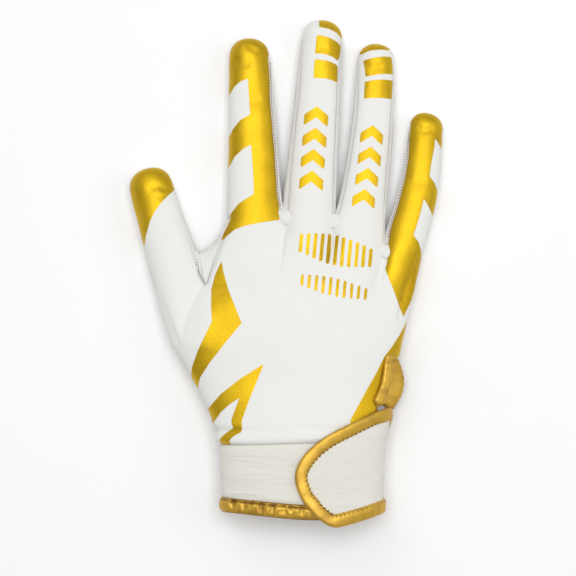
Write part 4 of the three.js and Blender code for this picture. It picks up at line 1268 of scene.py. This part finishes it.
def strap_cloth():
    """The strap's cloth: an outer face with soft creases and an inner face, joined round the edge. It
    ends inside the binding, a little past the middle of the band."""
    line, across, along = strap_line(BINDING_WIDTH * 0.55), 70, 110
    tip = int(line[:, 0].argmax())
    near_tip = np.sin(np.linspace(0, math.pi / 2, along + 1)[:-1])
    sides = []
    for side in (line[:tip + 1], line[tip:][::-1]):
        at = np.linspace(0, 1, len(side))
        sides.append(np.stack([np.interp(near_tip, at, side[:, k]) for k in range(2)], 1))
    t = np.linspace(0, 1, across + 1)[:, None]
    flat = mix(sides[1][:, None], sides[0][:, None], t)
    half = np.linalg.norm(sides[0] - sides[1], axis=1)[:, None] / 2
    edge = (1 - np.abs(2 * t[:, 0] - 1))[None, :] * half
    spot = np.stack([flat[..., 0], flat[..., 1], 0 * edge], -1).reshape(-1, 3)
    crease = (1 - np.abs(waves(spot, 8, 21, (0.6, 1.0, 1), 6))).reshape(edge.shape)
    soft = waves(spot, 26, 22).reshape(edge.shape)
    puff = 0.7 * (1 - bump(edge, 5)) + 0.2 * (crease - 0.6) + 0.3 * soft
    points = np.concatenate([on_wrist(flat, STRAP_THICKNESS + puff).reshape(-1, 3),
                             on_wrist(flat, 0.0).reshape(-1, 3)])
    rows, columns = edge.shape
    count = rows * columns
    ring = np.concatenate([np.arange(columns), np.arange(2, rows) * columns - 1,
                           (rows - 1) * columns + np.arange(columns)[::-1],
                           np.arange(rows - 2, 0, -1) * columns])
    after = np.roll(ring, -1)
    faces = np.concatenate([grid_faces(rows, columns), grid_faces(rows, columns, count)[:, ::-1],
                            np.stack([ring, after, after + count, ring + count], 1)])
    # The distance to the strap's edges, kept as the seam layer, gives the cuff finish's painted shade
    # near them.
    layers = {"seam": np.concatenate([edge.reshape(-1), np.full(count, FAR)])}
    return points, faces, layers


BAND_SIDES = 24


def swept_band(path, out, width, thickness, pucker, seed, notch=0.0, flat_power=0.55, end=1.2):
    """A puckered band along a path: a flattened oval ring at every point, lying on the cloth, its
    upper side pushed in and out by short waves and its inner edge pinched by stitches, notch deep.
    The lower flat_power is, the squarer the oval. Rings shrink over the end length and are closed."""
    ahead = unit(np.gradient(path, axis=0))
    across = unit(np.cross(ahead, out))
    up = np.cross(across, ahead)
    turn = np.linspace(0, 2 * math.pi, BAND_SIDES, endpoint=False)
    c, s = np.cos(turn), np.sin(turn)
    oval = np.sign(c) * np.abs(c) ** flat_power, np.sign(s) * np.abs(s) ** 0.8
    run = run_along(path)
    rows = len(path)
    flat = np.stack([np.repeat(run, BAND_SIDES), np.tile(turn * width / 5, rows),
                     np.zeros(rows * BAND_SIDES)], -1)
    fold = waves(flat, 4.6, seed, (1.0, 0.9, 1), 8)
    fold = (fold + 0.7 * waves(flat, 11.0, seed + 1, (1.0, 0.8, 1), 5)).reshape(rows, BAND_SIDES)
    ends = np.clip(np.minimum(run, run[-1] - run) / end, 0, 1)
    shrink = np.sqrt(np.maximum(1e-4, 1 - (1 - ends) ** 2))[:, None]
    stitched = np.abs(np.cos(math.pi * run / 2.2 + 0.5 * np.sin(run / 3.1)))[:, None]
    pinch = notch * stitched * smooth((-oval[0] - 0.5) / 0.4)
    half_thick = thickness / 2 + pucker * fold * (oval[1] > -0.3) - pinch
    high = (oval[1] * half_thick) * shrink + thickness / 2
    wide = oval[0] * (width / 2 + 0.4 * pucker * fold - 0.4 * pinch) * shrink
    points = path[:, None] + wide[..., None] * across[:, None] + high[..., None] * up[:, None]
    faces = grid_faces(rows, BAND_SIDES, close=True)[:, ::-1].tolist()
    ids = list(range(rows * BAND_SIDES))
    faces += [ids[:BAND_SIDES], ids[-BAND_SIDES:][::-1]]
    # Painted light for the satin finish: lighter on the crests of the pucker and on the band's upper
    # side, darker in the folds and underneath.
    light = np.clip(0.55 + 0.28 * fold + 0.25 * oval[1], 0, 1)
    return points.reshape(-1, 3), faces, {"fold": light.reshape(-1)}


def even(path, out, pitch):
    """The same path and its outward directions with points one pitch apart."""
    both = resampled(np.concatenate([path, out], 1), pitch)
    return both[:, :3], unit(both[:, 3:])


points, faces, layers = strap_cloth()
make_piece("strap_cloth", points, faces, [CUFF_FINISH], ["closure_strap"], layers)
path, out = even(*strap_path(BINDING_WIDTH / 2), 0.45)
points, faces, layers = swept_band(path, out, BINDING_WIDTH + 0.5, STRAP_BINDING_THICKNESS, 0.10,
                                   31, notch=0.7)
make_piece("strap_edge_binding", points, faces, [BINDING_FINISH], ["strap_binding"],
           layers)


# Middle lines of the vent's bindings: pixels of the picture and height. The upper one lies along the
# edge of the back; the lower one stands out further, along the edge of the palm.
VENT_LINES = {
    "back": [(506, 353, 18.8), (505, 364, 19.6), (503.6, 374, 20), (502, 383, 20.4),
             (499.5, 391, 21.2), (496.5, 398, 22.2), (492, 404, 22.6)],
    "palm": [(505.5, 359, 10), (511, 371, 10.5), (513, 382, 11), (510.5, 393, 11.5),
             (506, 400, 12), (501.5, 408, 13)],
}
VENT_OUT = (0.35, 0, 1.0)


for vent_name, seed in (("back", 41), ("palm", 43)):
    line = np.asarray(VENT_LINES[vent_name], float)
    line = np.concatenate([on_back(line[:, :2]), line[:, 2:] - VENT_THICKNESS / 2], 1)
    path = smoothed(line, 0.5, 20)
    out = unit(np.array(VENT_OUT) + 0 * path)
    points, faces, layers = swept_band(path, out, VENT_WIDTHS[vent_name], VENT_THICKNESS, 0.3,
                                       seed, notch=0.8, end=2.4)
    make_piece(f"vent_edge_{vent_name}", points, faces, [BINDING_FINISH],
               [f"vent_binding_{vent_name}"], layers)


def turned(profile, sides=72):
    """A profile of radius and height turned round an upright axis, with a pole at both ends."""
    profile = np.asarray(profile, float)
    turn = np.linspace(0, 2 * math.pi, sides, endpoint=False)
    radius, height = profile[1:-1, :1], profile[1:-1, 1:]
    rings = np.stack([radius * np.cos(turn), radius * np.sin(turn), height + 0 * turn], -1)
    points = np.concatenate([rings.reshape(-1, 3), [[0, 0, profile[0, 1]], [0, 0, profile[-1, 1]]]])
    rows = len(profile) - 2
    first, last, around = np.full(sides, rows * sides), rows * sides + 1, np.arange(sides)
    after, top = (around + 1) % sides, (rows - 1) * sides
    faces = grid_faces(rows, sides, close=True).tolist()
    faces += np.stack([first, around, after], 1).tolist()
    faces += np.stack([np.full(sides, last), top + after, top + around], 1).tolist()
    return points, faces


def snap_profile():
    """The snap's section from the cloth side to its face: a rounded rim, a raised ring and a knob."""
    r, h, ring, knob = SNAP["diameter"] / 2, SNAP["thickness"], SNAP["ring"] / 2, SNAP["knob"] / 2
    bend_in = [(r - 0.5 + 0.5 * math.cos(a), h * 0.45 + 0.5 * math.sin(a))
               for a in np.linspace(-1.2, 1.4, 8)]
    step_up = [(ring + 0.8, h * 0.80), (ring + 0.55, h * 0.98), (ring + 0.2, h),
               (ring - 0.05, h * 0.92), (ring - 0.2, h * 0.6)]
    top = [(knob + 0.1, h * 0.55), (knob, h * 0.75), (knob - 0.25, h * 0.88), (knob * 0.5, h * 0.93)]
    return [(0, 0)] + [(r - 0.6, 0)] + bend_in + step_up + top + [(0, h * 0.93)]


points, faces = turned(snap_profile())
points = points * np.array([1, 1, -1])
points[:, 1] += SNAP["along"] * CUFF_LENGTH
points[:, 2] += SNAP_HIGH[2] / MM
make_piece("snap_cap", points, faces, [PLASTIC_FINISH], ["snap_button"], sharp=60)


def stitches(path, out, pitch, length, thick):
    """A row of short threads along a path: each one a six-sided bean, its middle proud of the cloth and
    both its ends sunk in it."""
    line, up = even(path, out, pitch)
    ahead = unit(np.gradient(line, axis=0))
    across = unit(np.cross(ahead, up))
    t = np.linspace(-1, 1, 5)
    turn = np.linspace(0, 2 * math.pi, 6, endpoint=False)
    radius = thick / 2 * np.sqrt(np.maximum(0.06, 1 - t ** 4))
    arch = thick * (0.45 - STITCH_SINK / thick * t ** 2 * 2)
    local = np.stack([(t * length / 2)[:, None] + 0 * turn, radius[:, None] * np.cos(turn),
                      arch[:, None] + radius[:, None] * np.sin(turn)], -1).reshape(-1, 3)
    points = (line[:, None] + local[None, :, :1] * ahead[:, None]
              + local[None, :, 1:2] * across[:, None] + local[None, :, 2:] * up[:, None])
    one = grid_faces(5, 6, close=True)
    ends = np.array([[0, 1, 2, 3, 4, 5], [29, 28, 27, 26, 25, 24]])
    shift = (np.arange(len(line)) * 30)[:, None, None]
    faces = (one + shift).reshape(-1, 4).tolist() + (ends + shift).reshape(-1, 6).tolist()
    return points.reshape(-1, 3), faces


def joined(parts):
    """Several point and face lists as one."""
    points, faces, start = [], [], 0
    for own, own_faces in parts:
        points.append(own)
        faces += [[index + start for index in face] for face in own_faces]
        start += len(own)
    return np.concatenate(points), faces


def row_inset(grid, inset):
    """Points of a grid's rows at a distance in from their first column, read by straight blends, with
    the rows' outward directions there."""
    step = np.linalg.norm(np.diff(grid, axis=1), axis=2)
    run = np.concatenate([np.zeros((len(grid), 1)), np.cumsum(step, 1)], 1)
    after = np.clip((run < inset).sum(1), 1, grid.shape[1] - 1)
    rows = np.arange(len(grid))
    low, high = run[rows, after - 1], run[rows, after]
    t = np.clip((inset - low) / np.maximum(high - low, 1e-6), 0, 1)[:, None]
    point = mix(grid[rows, after - 1], grid[rows, after], t)
    ahead = np.gradient(point, axis=0)
    across = grid[rows, after] - grid[rows, after - 1]
    return point, unit(np.cross(ahead, across))


def palm_stitch_lines():
    """Top stitch of the palm: in from both seams of every finger."""
    lines = []
    for finger in FINGERS:
        distance = finger_distances(finger)
        distance = distance[(distance > 6) & (distance < FINGERS[finger]["length"] - 3.4)]
        grid = rest_on_floor(finger_sheet(finger, distance, "palm"))
        for own in (grid, grid[:, ::-1]):
            point, out = row_inset(own, PALM_STITCH_INSET)
            lines.append((point, out * np.sign(-out[:, 2:])))
    return lines


points, faces = joined([stitches(*line, *STITCH_SIZES["palm"]) for line in palm_stitch_lines()])
make_piece("palm_stitching", points, faces, [WHITE_THREAD], [])

path, out = strap_path(BINDING_WIDTH - 1.0, STRAP_BINDING_THICKNESS * 0.8)
points, faces = stitches(path, out, *STITCH_SIZES["strap"])
make_piece("strap_stitching", points, faces, [GOLD_THREAD], [])


def hem_stitch_line(y, raise_by):
    """Stitch line round the cuff at one y, over the back, round the thumb side and over the palm."""
    angle = np.linspace(math.radians(20), math.radians(340), 220)
    point = over_wrist(angle, np.full_like(angle, y), np.full_like(angle, raise_by))
    return point, unit(over_wrist(angle, np.full_like(angle, y), raise_by + 1 + 0 * angle) - point)


path, out = hem_stitch_line(STITCH_ROW - CUFF_LENGTH, 0.35)
points, faces = stitches(cuff_slope(path), out, *STITCH_SIZES["hem"])
make_piece("hem_stitching", points, faces, [GOLD_THREAD], [])


def crotch_pad(number):
    """Middle line of the rounded end of the side cloth where two neighbours meet, and upward
    directions along it."""
    lean = math.radians(sum(FINGERS[finger]["lean"] for finger in LONG_FINGERS[number:number + 2]) / 2)
    reach = np.linspace(-2.6, 4.4, 18)
    path = CROTCH_EDGES[number]["back"] + column(reach) * np.array([math.sin(lean), math.cos(lean), 0])
    path[:, 2] -= 1.35 + 1.7 * smooth(reach / 4)
    return path, np.broadcast_to([0, 0, 1.0], path.shape)


for number, crotch_name in enumerate(CROTCHES):
    points, faces = swept_band(*crotch_pad(number), PAD_WIDTH, PAD_THICKNESS, 0.05, 51 + number,
                               flat_power=0.9, end=3.2)[:2]
    layers = {"seam": np.full(len(points), 3.0)}
    make_piece(f"crotch_pad_{crotch_name}", points, faces, [SIDE_FINISH], [], layers)


def seam_stitch_line(finger, sign, first, last, sink):
    """A stitch line in the seam between the back of a finger and its side, sunk in the tuck."""
    distance = np.linspace(first, last, 80)
    path = finger_edge(finger, distance, sign)["back"]
    out = unit(np.array([sign * 0.45, 0, 1.0]) + 0 * path)
    return path - out * sink, out


SEAM_LINES = ("index", 1, 6, 72, 0.45), ("little", -1, 6, 54, 0.45)
points, faces = joined([stitches(*seam_stitch_line(*line), *STITCH_SIZES["seam"])
                        for line in SEAM_LINES])
make_piece("side_seam_stitching", points, faces, [GOLD_THREAD], [])
points, faces = stitches(*seam_stitch_line("thumb", 1, 0, 36, 0.4), *STITCH_SIZES["web"])
make_piece("web_stitching", points, faces, [GREY_THREAD], [])


# Floor and light
def stage_plane(name, half, height, finish):
    """A flat square centred below the glove."""
    corners = [(x * half, y * half, height) for x, y in ((-1, -1), (1, -1), (1, 1), (-1, 1))]
    mesh = bpy.data.meshes.new(name)
    mesh.from_pydata(corners, [], [[0, 1, 2, 3]])
    mesh.materials.append(finish)
    plane = bpy.data.objects.new(name, mesh)
    bpy.context.scene.collection.objects.link(plane)


floor = Finish("plain pale floor", Specular_IOR_Level=0.1)
FLOOR_LIGHT, FLOOR_SHADE = (0.97, 0.97, 0.97), (0.95, 0.95, 0.95)
floor.paint(floor.blend(FLOOR_LIGHT, FLOOR_SHADE, floor.noise(6)), floor.noise(3) * 0.1 + 0.8)
stage_plane("floor", 3.0, -0.0002, floor.material)


def softbox(name, place, aim, size, power):
    """A square area light that faces a point."""
    light = bpy.data.lights.new(name, "AREA")
    light.shape, light.size, light.energy = "SQUARE", size, power
    lamp = bpy.data.objects.new(name, light)
    ahead = unit(np.asarray(aim, float) - np.asarray(place, float))
    side = unit(np.cross(ahead, (0.0, 1.0, 0.001)))
    up = np.cross(side, ahead)
    rows = [(side[k], up[k], -ahead[k], place[k]) for k in range(3)]
    lamp.matrix_world = Matrix(rows + [(0, 0, 0, 1)])
    bpy.context.scene.collection.objects.link(lamp)


softbox("overhead", (0.04, 0.14, 1.45), (0, 0, 0), 0.9, 12.6)
softbox("high_left", (-0.5, 1.0, 1.0), (0, 0, 0), 0.6, 2.0)
softbox("high_right", (1.1, 0.1, 0.9), (0, 0, 0), 0.6, 2.0)
world = bpy.data.worlds.new("soft pale surround")
world.use_nodes = True
world.node_tree.nodes["Background"].inputs["Color"].default_value = (1, 1, 1, 1)
world.node_tree.nodes["Background"].inputs["Strength"].default_value = 0.38
bpy.context.scene.world = world
bpy.context.scene.view_settings.view_transform = "Standard"
